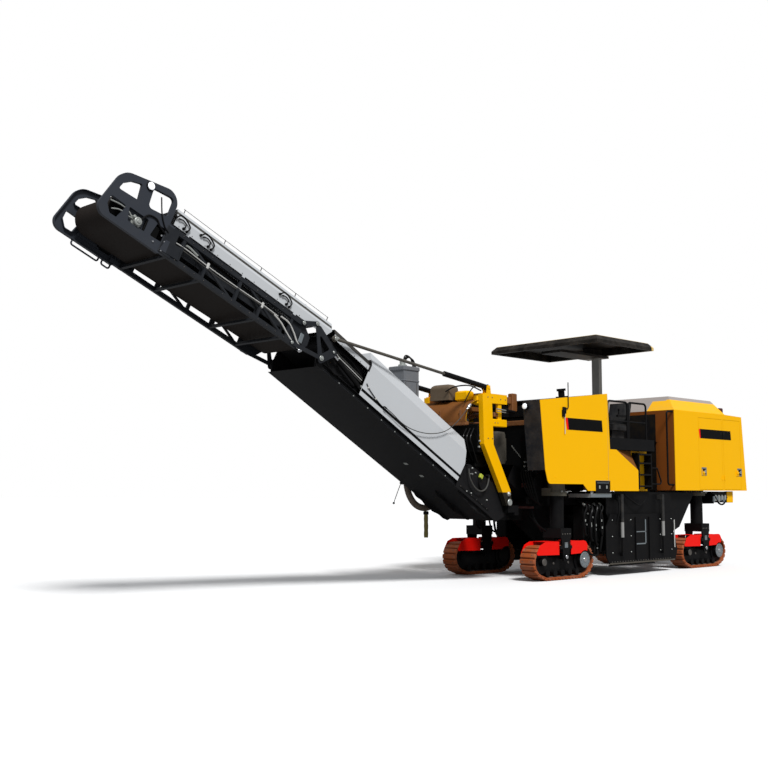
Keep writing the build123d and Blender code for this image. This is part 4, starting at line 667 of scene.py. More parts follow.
# ---------------------------------------------------------------- carried-over CAD
# Painted shade: dark umber where shade falls, on the cover hood's top band and the bracket's foot.
PAINTED_SHADE_UMBER = (0.022, 0.019, 0.015)
GREYED = (0.38, 0.38, 0.36)
NIGHT = (0.010, 0.010, 0.011)


def flanks(low: tuple, high: tuple, colour: tuple) -> list[Zone]:
    """Zone between two corners on the machine's left, and its mirror image on the right."""
    (x0, y0, z0), (x1, y1, z1) = low, high
    return [Zone(low, high, colour), Zone((x0, -y1, z0), (x1, -y0, z1), colour)]


@dataclass
class CadFinish:
    """Gives every CAD node its finish: that of its slot, or one of its own."""

    def own(self) -> dict[str, Finish]:
        """Finishes of the nodes that show more than one colour or are toned apart; several zones are painted
        shade.
        """
        # Painted shade: the bracket's inner side coloured brown as shaded yellow.
        inner = Zone((-0.3, -0.5715, 1.0), (2.0, 0.5715, 3.6), PAINTED_SHADE_BROWN, BRACKET)
        # Painted shade: dark band along the hood's curved top.
        hood = Zone((3.945, -0.7, 0.222), (4.83, 0.7, 0.35), PAINTED_SHADE_UMBER, LOWER)
        rim = Zone((3.93, -0.7, 0.13), (3.972, 0.7, 0.33), NIGHT, LOWER)
        gland = Zone((3.36, 0.553, -0.25), (3.50, 0.7, -0.10), NIGHT, LOWER)
        # Painted shade: dark band along the upper cover's curved top.
        band = Zone((-0.2, -0.7, 0.262), (3.2, 0.7, 0.306), (0.050, 0.048, 0.042), UPPER)
        bracket = Zone((-1.30, -1.3, 1.40), (-0.55, 1.3, 1.513), (0.30, 0.31, 0.30))
        # Painted shade: the canopy's rim and underside near black, its top left amber.
        shell = Zone((-2.60, -1.4, 3.0), (0.5, 1.4, 4.416), (0.008, 0.006, 0.004))
        ceiling = Zone((-2.64, -1.262, 3.0), (-0.828, 1.262, 4.446), (0.008, 0.006, 0.004))
        post = Zone((-2.75, -0.2, 3.0), (-2.4, 0.2, 4.29), GREYED)
        # Painted shade: the rear body's front wall brown as shaded yellow, near black in the deep recess
        # behind the seats.
        front = Zone((-3.45, -1.3, 1.5), (-3.395, 1.3, 3.3), (0.26, 0.075, 0.014))
        middle = Zone((-3.46, -0.82, 1.5), (-3.39, 0.82, 3.12), NIGHT)
        # Painted shade: the bracket's foot, under the cowl, in dark umber.
        foot = Zone((-0.3, -1.0, 1.0), (0.6, 1.0, 1.53), PAINTED_SHADE_UMBER, BRACKET)
        rods = Zone((-3.2, -1.3, 0.2), (-1.4, 1.3, 0.98), (0.30, 0.30, 0.29))
        knuckle = flanks((-5.40, 1.2507, 2.655), (-5.16, 1.3, 2.845), NIGHT)
        # Painted shade: brown on the panels' folded-in facet below the deck.
        facet = flanks((-2.15, 1.0, 1.90), (-1.38, 1.2405, 2.36), PAINTED_SHADE_BROWN)
        hips = flanks((-6.4, 0.935, 3.1), (-3.4, 1.3, 3.425), YELLOW.colour)
        hips += flanks((-3.8, 0.62, 3.1), (-3.3, 0.95, 3.405), YELLOW.colour)
        door = replace(YELLOW, name="door enamel", zones=tuple(knuckle))
        doors = [name for name in frame["nodes"] if name.startswith(("engine_door", "engine_side"))]
        cylinders = replace(GREY, name="cylinder enamel", colour=(0.022, 0.022, 0.022), zones=(rods,))
        head = Zone((2.95, -0.7, -0.5), (4.2, 0.7, 0.6), (0.036, 0.041, 0.052), UPPER)
        return {
            "conveyor_bracket": replace(YELLOW, name="bracket enamel", zones=(inner, foot)),
            "conveyor_lower_cover": replace(WHITE, name="lower cover enamel", zones=(hood, rim, gland)),
            "conveyor_upper_cover": replace(WHITE, name="upper cover enamel", zones=(band,)),
            "conveyor_upper_frame": replace(SLATE, name="truss enamel", zones=(head,)),
            "tanks_and_boxes": replace(BLACK, name="tank enamel", zones=(bracket,)),
            "canopy_roof": replace(SHELL, name="canopy shell", zones=(shell, ceiling, post)),
            "lift_rods": replace(GREY, name="rod steel", colour=(0.085, 0.078, 0.066), roughness=0.35),
            "canopy_mast": replace(GREY, name="mast enamel", colour=(0.40, 0.41, 0.39)),
            "side_panels": replace(YELLOW, name="panel enamel", zones=tuple(facet)),
            "side_plate_cylinders": cylinders,
            **dict.fromkeys(doors, door),
            "engine_housing": replace(YELLOW, name="housing enamel", zones=(front, middle)),
            "engine_roof": replace(GREY, name="roof enamel", colour=(0.36, 0.32, 0.30), zones=tuple(hips)),
            "front_hood": replace(GREY, name="hood enamel", colour=(0.016, 0.019, 0.025)),
            "lifting_columns": replace(GREY, name="column enamel", colour=(0.10, 0.092, 0.070)),
            "extraction_box": replace(GREY, name="dome enamel", colour=(0.13, 0.095, 0.062)),
            "conveyor_lower_frame": replace(BLACK, name="lower frame enamel", colour=(0.009, 0.009, 0.010)),
            "conveyor_upper_belt": replace(RUBBER, name="upper belt rubber", colour=(0.016, 0.012, 0.010)),
        }

    def dress(self) -> int:
        """Materials on the CAD nodes; returns how many."""
        slots = {part["node"]: part["material_slot"] for part in frame["record"]["subparts"]}
        own = self.own()
        for name, item in frame["nodes"].items():
            finish = own.get(name, SLOTS[slots[name]])
            item.data.materials.clear()
            item.data.materials.append(finish.material())
        return len(frame["nodes"])


# ---------------------------------------------------------------- crawlers
@dataclass
class Chain:
    """Closed path round four wheels in X and Z, given as (x, z, radius), anticlockwise from the rear."""

    wheels: tuple = (
        (-0.470, 0.150, 0.110), (0.470, 0.150, 0.110), (0.578, 0.327, 0.242), (-0.578, 0.327, 0.242),
    )

    def samples(self, step: float = 0.004) -> tuple[np.ndarray, np.ndarray]:
        """Points about a step apart along the path, and the outward unit normals there.

        Each wheel gives an arc between the normals of its two tangent lines; the lines are filled in
        between. The result is spaced evenly by arc length.
        """
        rows = np.array(self.wheels)
        nxt = np.roll(rows, -1, axis=0)
        gap = nxt[:, :2] - rows[:, :2]
        span = np.linalg.norm(gap, axis=1)
        along = gap / span[:, None]
        across = np.stack([along[:, 1], -along[:, 0]], 1)
        lean = (rows[:, 2] - nxt[:, 2]) / span
        normal = across * np.sqrt(1 - lean ** 2)[:, None] + along * lean[:, None]
        points, normals = [], []
        for i, (x, z, radius) in enumerate(rows):
            start = math.atan2(normal[i - 1][1], normal[i - 1][0])
            sweep = (math.atan2(normal[i][1], normal[i][0]) - start) % (2 * math.pi)
            angle = start + np.linspace(0, sweep, 40)
            arc = np.stack([np.cos(angle), np.sin(angle)], 1)
            points.append(np.array([x, z]) + arc * radius)
            normals.append(arc)
        points, normals = np.concatenate(points), np.concatenate(normals)
        points, normals = np.concatenate([points, points[:1]]), np.concatenate([normals, normals[:1]])
        distance = np.concatenate([[0], np.cumsum(np.linalg.norm(np.diff(points, axis=0), axis=1))])
        at = np.linspace(0, distance[-1], int(distance[-1] / step), endpoint=False)
        pick = lambda values: np.stack([np.interp(at, distance, values[:, c]) for c in (0, 1)], 1)
        out = pick(normals)
        return pick(points), out / np.linalg.norm(out, axis=1, keepdims=True)

    def frames(self, count: int) -> list[np.ndarray]:
        """Matrices of evenly spaced stations: X along the chain, Y across, Z outwards."""
        points, normals = self.samples()
        made = []
        for number in range(count):
            i = int((number + 0.5) / count * len(points)) % len(points)
            (x, z), (nx, nz) = points[i], normals[i]
            matrix = np.eye(4)
            matrix[:3, 0], matrix[:3, 2], matrix[:3, 3] = (-nz, 0, nx), (nx, 0, nz), (x, 0, z)
            matrix[:3, 1] = np.cross(matrix[:3, 2], matrix[:3, 0])
            made.append(matrix)
        return made


@dataclass
class Crawlers:
    """Chains with their pads, wheels' faces and small fittings of the four crawlers."""

    pads: int = 40
    half_width: float = 0.1615

    def shoe(self) -> list[tuple[Finish, Surface]]:
        """Pad, plate and links of one station, outwards along Z from the chain's outer line."""
        half = self.half_width
        pad = box((-0.041, -half, 0.004), (0.041, half, 0.0395), 0.010)
        plate = box((-0.047, -half + 0.001, -0.014), (0.047, half - 0.001, 0.006), 0.002)
        links = [box((-0.056, y - 0.012, -0.030), (0.050, y + 0.012, -0.010), 0.006) for y in (-0.075, 0.075)]
        studs = [box((-0.012, y - 0.012, 0.036), (0.012, y + 0.012, 0.0405), 0.003) for y in (-0.095, 0.095)]
        return [(PAD, pad), (PAD, plate)] + [(STEEL, shape) for shape in links + studs]

    def fittings(self, item: Piece) -> None:
        """Drive motor's cover and bolts, idler's cap, fork's bolts and grease plates; outer side at +Y."""
        y = self.half_width + 0.008
        x, z, circle = -0.578, 0.327, 0.115
        item.add(HUB, disc(x, z, 0.143, y, y + 0.008, 0.006, 36))
        item.add(BRIGHT, disc(x, z, 0.045, y + 0.006, y + 0.016, 0.004))
        for angle in np.arange(10) * math.pi / 5:
            a, b = x + circle * math.cos(angle), z + circle * math.sin(angle)
            item.add(STEEL, disc(a, b, 0.010, y + 0.006, y + 0.014, 0.002, 6))
        item.add(STEEL, disc(0.578, 0.327, 0.062, y, y + 0.008, 0.005))
        out = self.half_width + 0.040
        item.add(BRIGHT, disc(0, 0.400, 0.035, out + 0.012, out + 0.018, 0.004))
        item.add(HUB, box((-0.045, out, 0.560), (0.045, out + 0.006, 0.655), 0.003))
        for x in (-0.028, 0.028):
            item.add(STEEL, disc(x, 0.640, 0.008, out + 0.006, out + 0.012, 0.002, 6))
        for x in (-0.105, -0.035, 0.035, 0.105):
            item.add(STEEL, disc(x, 0.800, 0.013, out, out + 0.010, 0.003, 6))
        for x, z in ((-0.42, 0.29), (-0.21, 0.29), (0.21, 0.29), (0.42, 0.29)):
            item.add(STEEL, disc(x, z, 0.022, 0.070, 0.084, 0.004, 12))

    def build(self) -> int:
        """Dresses all four crawlers; returns how many."""
        stations = Chain().frames(self.pads)
        for end, x in (("front", 0.0), ("rear", -WHEELBASE)):
            for side, sign in SIDES:
                body = f"crawler_{end}_{side}"
                place = MACHINE.moved(x, sign * HALF_GAUGE, 0)
                track = Piece(f"chain_{end}_{side}", body, place)
                for matrix in stations:
                    for finish, shape in self.shoe():
                        track.add(finish, shape.placed(matrix))
                track.build((f"crawler_track_{end}_{side}",))
                extras = Piece(f"crawler_fittings_{end}_{side}", body, place)
                self.fittings(extras)
                extras.on_side(sign).build()
        return 4


# ---------------------------------------------------------------- cords
def route(name: str, points: np.ndarray) -> bpy.types.Object:
    """Curve object of one open NURBS spline of order 3 that starts and ends at its end points."""
    data = bpy.data.curves.new(name, "CURVE")
    data.dimensions = "3D"
    data.resolution_u = 10
    spline = data.splines.new("NURBS")
    spline.points.add(len(points) - 1)
    for knot, place in zip(spline.points, points):
        knot.co = (*place, 1)
    spline.order_u = 3
    spline.use_endpoint_u = True
    return shown(name, data)


def centreline(name: str, points: np.ndarray, step: float) -> np.ndarray:
    """Points a step apart along the NURBS line through a route."""
    item = route(name, points)
    mesh = bpy.data.meshes.new_from_object(item)
    line = np.array([v.co[:] for v in mesh.vertices])
    bpy.data.meshes.remove(mesh)
    bpy.data.objects.remove(item)
    run = np.concatenate([[0], np.cumsum(np.linalg.norm(np.diff(line, axis=0), axis=1))])
    at = np.linspace(0, run[-1], max(8, int(run[-1] / step)))
    return np.stack([np.interp(at, run, line[:, c]) for c in range(3)], 1)


@dataclass
class Cords:
    """Slack cable and hoses at the conveyor's foot, on the part's own routes."""

    cable: tuple = (
        (3.375, -0.180), (3.200, -0.180), (3.035, -0.198), (2.870, -0.190), (2.700, -0.155), (2.540, -0.103),
        (2.385, -0.035), (2.240, 0.048), (2.105, 0.143), (1.990, 0.248), (1.900, 0.368), (1.828, 0.495),
        (1.768, 0.630), (1.718, 0.765), (1.680, 0.880),
    )
    foot: tuple = (
        (1.195, 0.005), (1.140, -0.098), (1.020, -0.175), (0.880, -0.212), (0.740, -0.195), (0.640, -0.110),
        (0.610, 0.010), (0.640, 0.120),
    )
    dust: tuple = (
        (1.600, 2.200), (1.786, 2.200), (1.955, 2.121), (2.074, 1.979), (2.122, 1.799), (2.106, 1.613),
        (2.028, 1.444), (1.896, 1.312), (1.721, 1.248), (1.535, 1.248), (1.366, 1.327), (1.247, 1.469),
        (1.199, 1.649), (1.199, 1.760),
    )
    sleeve: tuple = ((1.590, 1.190), (1.592, 1.060), (1.586, 0.880), (1.590, 0.720))

    def slim(
        self, name: str, points: tuple, y: float, diameter: float
    ) -> None:
        """Plain round cable or hose on the lower conveyor, replacing the node of the same name."""
        at = LOWER.points(np.array([(s, y, n) for s, n in points]))
        item = route(f"{name}_line", at)
        item.data.bevel_depth = diameter / 2
        item.data.bevel_resolution = 4
        item.data.use_fill_caps = True
        item.data.materials.append(HOSE.material())
        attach(item, "lower_conveyor")
        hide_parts(name)

    def duct(
        self, name: str, points: tuple, diameter: float, finish: Finish,
        pitch: float, depth: float,
    ) -> None:
        """Limp duct on the bracket: a circle along the route's NURBS line, its radius a wave for the ribs."""
        at = BRACKET.points(np.array([(x - 0.910, -0.780, z) for x, z in points]))
        line = centreline(f"{name}_route", at, pitch / 4)
        run = np.arange(len(line)) * pitch / 4
        radius = diameter / 2 * (1 - depth / 2 + depth * np.cos(run / pitch * 2 * math.pi))
        shape = Piece(f"{name}_duct", "bracket", Place(np.eye(4)))
        shape.add(finish, tube(line, radius, 24))
        item = shape.build((name,))

    def build(self) -> int:
        """All four cords; returns how many."""
        plug = Piece("cable_connector", "lower_conveyor", LOWER)
        (s0, n0), (s1, n1) = self.cable[-2:]
        out = np.array([s1 - s0, 0, n1 - n0]) / math.hypot(s1 - s0, n1 - n0)
        start = np.array([s1, 0.600, n1])
        steps = ((-0.02, 0.011), (0.0, 0.013), (0.02, 0.024), (0.05, 0.032), (0.085, 0.032))
        along, radius = np.array(steps + ((0.09, 0.026), (0.11, 0.026))).T
        plug.add(BRIGHT, tube(start + along[:, None] * out, radius, 20))
        with_plug = [plug.build()]
        self.slim("signal_cable", self.cable, 0.600, 0.014)
        self.slim("foot_hose", self.foot, 0.620, 0.028)
        self.duct("dust_hose", self.dust, 0.115, DUCT, 0.026, 0.05)
        self.duct("drop_sleeve", self.sleeve, 0.078, SLEEVE, 0.12, 0.05)
        ring = Piece("sleeve_collar", "bracket", BRACKET)
        wall = lathe([(0.040, 0), (0.049, 0), (0.049, 0.05), (0.040, 0.05)], 24)
        ring.add(BLACK, wall.shifted(0.680, -0.780, 1.130))
        ring.build()
        return 4


@dataclass
class Dressing:
    """A sub-assembly that makes its pieces and then writes them."""

    def pieces(self) -> list[Piece]:
        """The pieces, not yet written."""
        raise NotImplementedError

    def build(self) -> int:
        """Writes every piece; returns how many."""
        made = self.pieces()
        for item in made:
            item.build()
        return len(made)


# ---------------------------------------------------------------- conveyor
HALF = 0.5515            # half the conveyor's width


def wire(points: list | tuple, radius: float, y: float = 0.0, around: int = 8) -> Surface:
    """Smooth round wire through (x, z) points at one y."""
    return tube(smooth([(x, y, z) for x, z in points], 6), radius, around)


def bolt(x: float, z: float, y: float, radius: float = 0.009) -> Surface:
    """Six-sided bolt head on a plate's outer face at +Y."""
    return disc(x, z, radius, y, y + radius * 0.8, radius * 0.2, 6)


@dataclass
class UpperDressing(Dressing):
    """Fittings of the upper section, with x along it from the fold."""

    pins: tuple = (
        (0.263, 0.164, 0.030), (-0.008, -0.262, 0.040), (0.499, 0.044, 0.030), (0.590, -0.328, 0.024)
    )
    handles: tuple = (0.922, 2.432, 2.862)
    clips: tuple = (2.292, 1.262)
    cables: tuple = (
        (
            ((2.95, -0.110), (2.68, -0.094), (2.27, -0.110), (1.71, -0.107), (1.26, -0.095), (0.95, -0.100)),
            0.008, PALE,
        ),
        (
            ((2.95, -0.140), (2.60, -0.135), (2.10, -0.150), (1.60, -0.128), (1.26, -0.118), (0.90, -0.120)),
            0.007, HOSE,
        ),
        (((1.022, -0.115), (0.861, -0.157), (0.690, -0.248), (0.543, -0.311), (0.380, -0.347)), 0.012, PALE),
        (
            (
                (0.898, -0.074), (0.736, -0.085), (0.592, -0.171), (0.468, -0.270), (0.293, -0.299),
                (0.166, -0.276)
            ),
            0.012, PALE,
        ),
    )

    def head(self) -> Piece:
        """Lamps, motor with its hoses, box behind it, rods across the window and the take-up's bolts."""
        item = Piece("head_fittings", "upper_conveyor", UPPER)
        item.pair(BLACK, disc(3.492, 0.340, 0.062, HALF, HALF + 0.022, 0.006))
        item.pair(LENS, disc(3.492, 0.340, 0.052, HALF + 0.018, HALF + 0.030, 0.008))
        x, z, circle = 3.465, -0.185, 0.062
        item.add(
            ALLOY,
            disc(x, z, 0.075, HALF - 0.045, HALF - 0.030, 0.005),
            disc(x, z, 0.056, HALF - 0.035, HALF + 0.030, 0.010),
            disc(x, z, 0.026, HALF + 0.028, HALF + 0.042, 0.004),
            disc(3.53, -0.150, 0.020, HALF - 0.02, HALF + 0.02, 0.004),
        )
        for a in np.arange(8) * math.pi / 4:
            item.add(ALLOY, bolt(x + circle * math.cos(a), z + circle * math.sin(a), HALF - 0.031))
        item.pair(NEAR_BLACK, box((3.130, HALF - 0.10, -0.285), (3.350, HALF - 0.010, -0.075), 0.008))
        for line, radius, lift, finish in (
            (((3.55, -0.160), (3.64, -0.120), (3.75, -0.113), (3.90, -0.140)), 0.009, -0.02, ALLOY),
            (((3.52, -0.175), (3.61, -0.185), (3.73, -0.180), (3.84, -0.230)), 0.009, -0.02, ALLOY),
            (((3.43, -0.13), (3.36, -0.02), (3.24, 0.00), (3.16, -0.06), (3.05, -0.10)), 0.012, 0.01, BLACK),
            (((3.30, 0.30), (3.20, 0.10), (3.10, -0.02), (3.02, -0.06)), 0.009, 0.012, BLACK),
        ):
            item.add(finish, wire(line, radius, HALF + lift))
        for x, z in ((3.02, -0.20), (3.17, -0.29), (2.98, -0.30), (3.02, -0.33), (3.09, -0.15)):
            item.pair(BRIGHT, bolt(x, z, HALF, 0.014))
        item.add(ALLOY, wire([(2.703, -0.048), (2.637, -0.045), (2.490, -0.071)], 0.014, HALF - 0.01))
        item.pair(SLATE, box((2.86, HALF - 0.004, -0.36), (3.06, HALF + 0.008, 0.04), 0.004))
        return item

    def run(self) -> Piece:
        """Cover's handles, cables with their clips along the truss, safety wire and the chords' bolts."""
        item = Piece("truss_fittings", "upper_conveyor", UPPER)
        for x in self.handles:
            arch = [(x + 0.140, 0.195), (x + 0.075, 0.255), (x - 0.02, 0.232)]
            arch += [(x - 0.096, 0.179), (x - 0.080, 0.110)]
            small = [(x + 0.100, 0.190), (x + 0.030, 0.212), (x - 0.030, 0.180), (x - 0.020, 0.120)]
            item.pair(BLACK, wire(arch, 0.010, HALF + 0.028), wire(small, 0.008, HALF + 0.022))
            ends = (arch[0], arch[-1], small[-1])
            item.pair(BLACK, *[disc(*end, 0.018, HALF - 0.001, HALF + 0.030, 0.004) for end in ends])
        for points, radius, finish in self.cables:
            item.add(finish, wire(points, radius, HALF - 0.012))
        for x in self.clips:
            item.add(PALE, box((x - 0.018, HALF - 0.03, -0.150), (x + 0.018, HALF + 0.004, -0.062), 0.006))
        item.add(BRIGHT, disc(0.412, -0.365, 0.026, HALF, HALF + 0.022, 0.006))
        item.add(BRIGHT, disc(0.380, -0.347, 0.018, HALF - 0.02, HALF + 0.01, 0.004))
        item.add(HUB, box((0.400, HALF - 0.03, -0.245), (0.470, HALF - 0.01, -0.095), 0.006))
        for x in np.arange(0.75, 3.0, 0.17):
            item.pair(STEEL, bolt(x, 0.035, HALF, 0.008), bolt(x, -0.328, HALF, 0.008))
        wires = [wire([(0.05, 0.405), (2.90, 0.405)], 0.0035, 0.485)]
        wires += [bar((x, 0.485, 0.345), (x, 0.485, 0.407), 0.006, 8) for x in (0.06, 0.75, 1.45, 2.15, 2.88)]
        item.pair(BLACK, *wires)
        for x in np.arange(0.15, 2.95, 0.23):
            item.pair(STEEL, bolt(x, 0.108, HALF, 0.007))
        return item

    def fold(self) -> Piece:
        """Pins of the folding hinge with their washers."""
        item = Piece("fold_pins", "upper_conveyor", UPPER)
        y = HALF + 0.024
        for x, z, radius in self.pins:
            washer, head = (y - 0.004, y + 0.006, 0.003), (y, y + 0.018, 0.004, 6)
            item.pair(ALLOY, disc(x, z, radius, *washer), disc(x, z, radius * 0.55, *head))
        item.pair(ALLOY, disc(-0.190, -0.062, 0.020, y - 0.006, y + 0.010, 0.003))
        return item

    def pieces(self) -> list[Piece]:
        """All of them, in order."""
        return [self.head(), self.run(), self.fold()]


@dataclass
class LowerDressing(Dressing):
    """Fittings of the lower section, with x along it from the base pivot."""

    foot_caps: tuple = (
        (1.052, 0.085, 0.016), (0.937, 0.060, 0.014), (0.882, -0.300, 0.013), (1.004, -0.330, 0.013),
        (0.45, -0.20, 0.014),
    )
    ball: float = 0.020

    def cover(self) -> Piece:
        """Dark groove of the white cover, and the cable clipped to it above the gland."""
        item = Piece("cover_trim", "lower_conveyor", LOWER)
        item.pair(NEAR_BLACK, box((1.235, HALF - 0.001, -0.212), (3.945, HALF + 0.0025, -0.168), 0.001))
        cable = [(3.405, -0.180), (3.47, -0.181), (3.60, -0.160), (3.79, -0.110), (3.90, -0.060)]
        item.add(BLACK, wire(cable, 0.007, HALF + 0.012))
        for x, z in ((3.62, -0.155), (3.84, -0.090)):
            item.add(PALE, box((x - 0.012, HALF, z - 0.018), (x + 0.012, HALF + 0.022, z + 0.018), 0.004))
        return item

    def channel(self) -> Piece:
        """Lighter lines and bolts in the rail's channel, and plates under the floor."""
        item = Piece("channel_trim", "lower_conveyor", LOWER)
        web = HALF - 0.044
        lines = [box((0.70, web - 0.001, z), (4.72, web + 0.004, z + 0.008), 0.001) for z in (-0.335, -0.362)]
        item.pair(SLATE, *lines)
        for x in np.arange(0.86, 4.7, 0.35):
            item.pair(ALLOY, bolt(x, -0.348, web, 0.012))
        item.add(ALLOY, box((2.03, 0.02, -0.401), (2.09, 0.09, -0.396), 0.001))
        item.add(ALLOY, box((1.62, 0.05, -0.401), (1.68, 0.12, -0.396), 0.001))
        return item

    def top(self) -> Piece:
        """Open zone under the transfer hood: thin pipes, a slack loop, fittings and the lift eye's caps."""
        item = Piece("transfer_fittings", "lower_conveyor", LOWER)
        for shift in (0.0, -0.035, 0.035):
            pipe = [
                (x, z + shift) for x, z in ((4.60, 0.02), (4.505, -0.003), (4.25, -0.017), (3.96, -0.035))
            ]
            item.add(PALE if shift == 0 else HOSE, wire(pipe, 0.008, HALF - 0.06))
        loop = [(4.77, -0.228), (4.65, -0.283), (4.521, -0.300), (4.401, -0.243)]
        item.add(BLACK, wire(loop, 0.011, HALF - 0.005))
        item.add(BLACK, wire([(4.66, 0.04), (4.45, 0.10), (4.22, 0.09), (3.98, 0.03)], 0.012, HALF - 0.07))
        for x, z in ((4.542, -0.034), (3.96, -0.15), (4.697, -0.081)):
            item.add(ALLOY, disc(x, z, 0.018, HALF - 0.05, HALF - 0.01, 0.004))
        eye = (4.830, 0.120)
        item.pair(ALLOY, disc(*eye, 0.034, 0.6465, 0.6555, 0.004), disc(*eye, 0.018, 0.654, 0.664, 0.003, 6))
        for x in np.arange(4.02, 4.80, 0.15):
            item.pair(STEEL, bolt(x, 0.165, HALF, 0.007))
        return item

    def foot(self) -> Piece:
        """Fittings at the foot, rubber flap under it, and the whip with its ball on the far side."""
        item = Piece("foot_fittings", "lower_conveyor", LOWER)
        for x, z, radius in self.foot_caps:
            item.pair(ALLOY, disc(x, z, radius, HALF, HALF + 0.022, 0.004, 8))
        item.add(LIME, box((0.755, HALF, 0.030), (0.835, HALF + 0.045, 0.110), 0.008))
        drop = [(0.80, 0.04), (0.78, -0.06), (0.70, -0.12), (0.58, -0.11)]
        item.add(BLACK, wire(drop, 0.014, HALF + 0.024))
        item.add(ALLOY, bar((1.04, HALF, -0.02), (1.04, HALF + 0.05, -0.02), 0.013, 8))
        item.pair(BLACK, box((0.32, HALF - 0.002, -0.345), (1.20, HALF + 0.006, -0.315), 0.003))
        for x in np.arange(0.38, 1.2, 0.16):
            item.pair(STEEL, bolt(x, -0.330, HALF + 0.006, 0.009))
        for side in (0.50, 0.0, -0.50):
            u, v = np.meshgrid(np.linspace(0.10, 1.15, 60), np.linspace(0.0, 1.0, 6), indexing="ij")
            v = -0.395 - v * (0.008 + 0.062 * np.sqrt(np.sin(math.pi * (u - 0.10) / 1.05).clip(0)))
            drop = 0.012 * np.sin(u * 23) * (-0.395 - v) / 0.07
            front = np.stack([u, side + drop, v - 0.010 * np.sin(u * 13) * (-0.395 - v) / 0.07], -1)
            loop = np.concatenate([front, (front + np.array([0, 0.006, 0]))[:, ::-1]], axis=1)
            item.add(RUBBER, rings(loop))
        whip = [
            (x, -0.600, z) for x, z in ((1.386, -0.400), (1.386, -0.560), (1.384, -0.690), (1.380, -0.770))
        ]
        item.add(NEAR_BLACK, hose(whip, 0.006, 8), box((1.36, -0.61, -0.40), (1.41, -0.545, -0.36), 0.004))
        lift = np.linspace(-math.pi / 2, math.pi / 2, 9)
        ball = lathe([(self.ball * math.cos(a), self.ball * math.sin(a)) for a in lift], 16)
        item.add(NEAR_BLACK, ball.shifted(*whip[-1]))
        return item

    def pieces(self) -> list[Piece]:
        """All of them, in order."""
        return [self.cover(), self.channel(), self.top(), self.foot()]


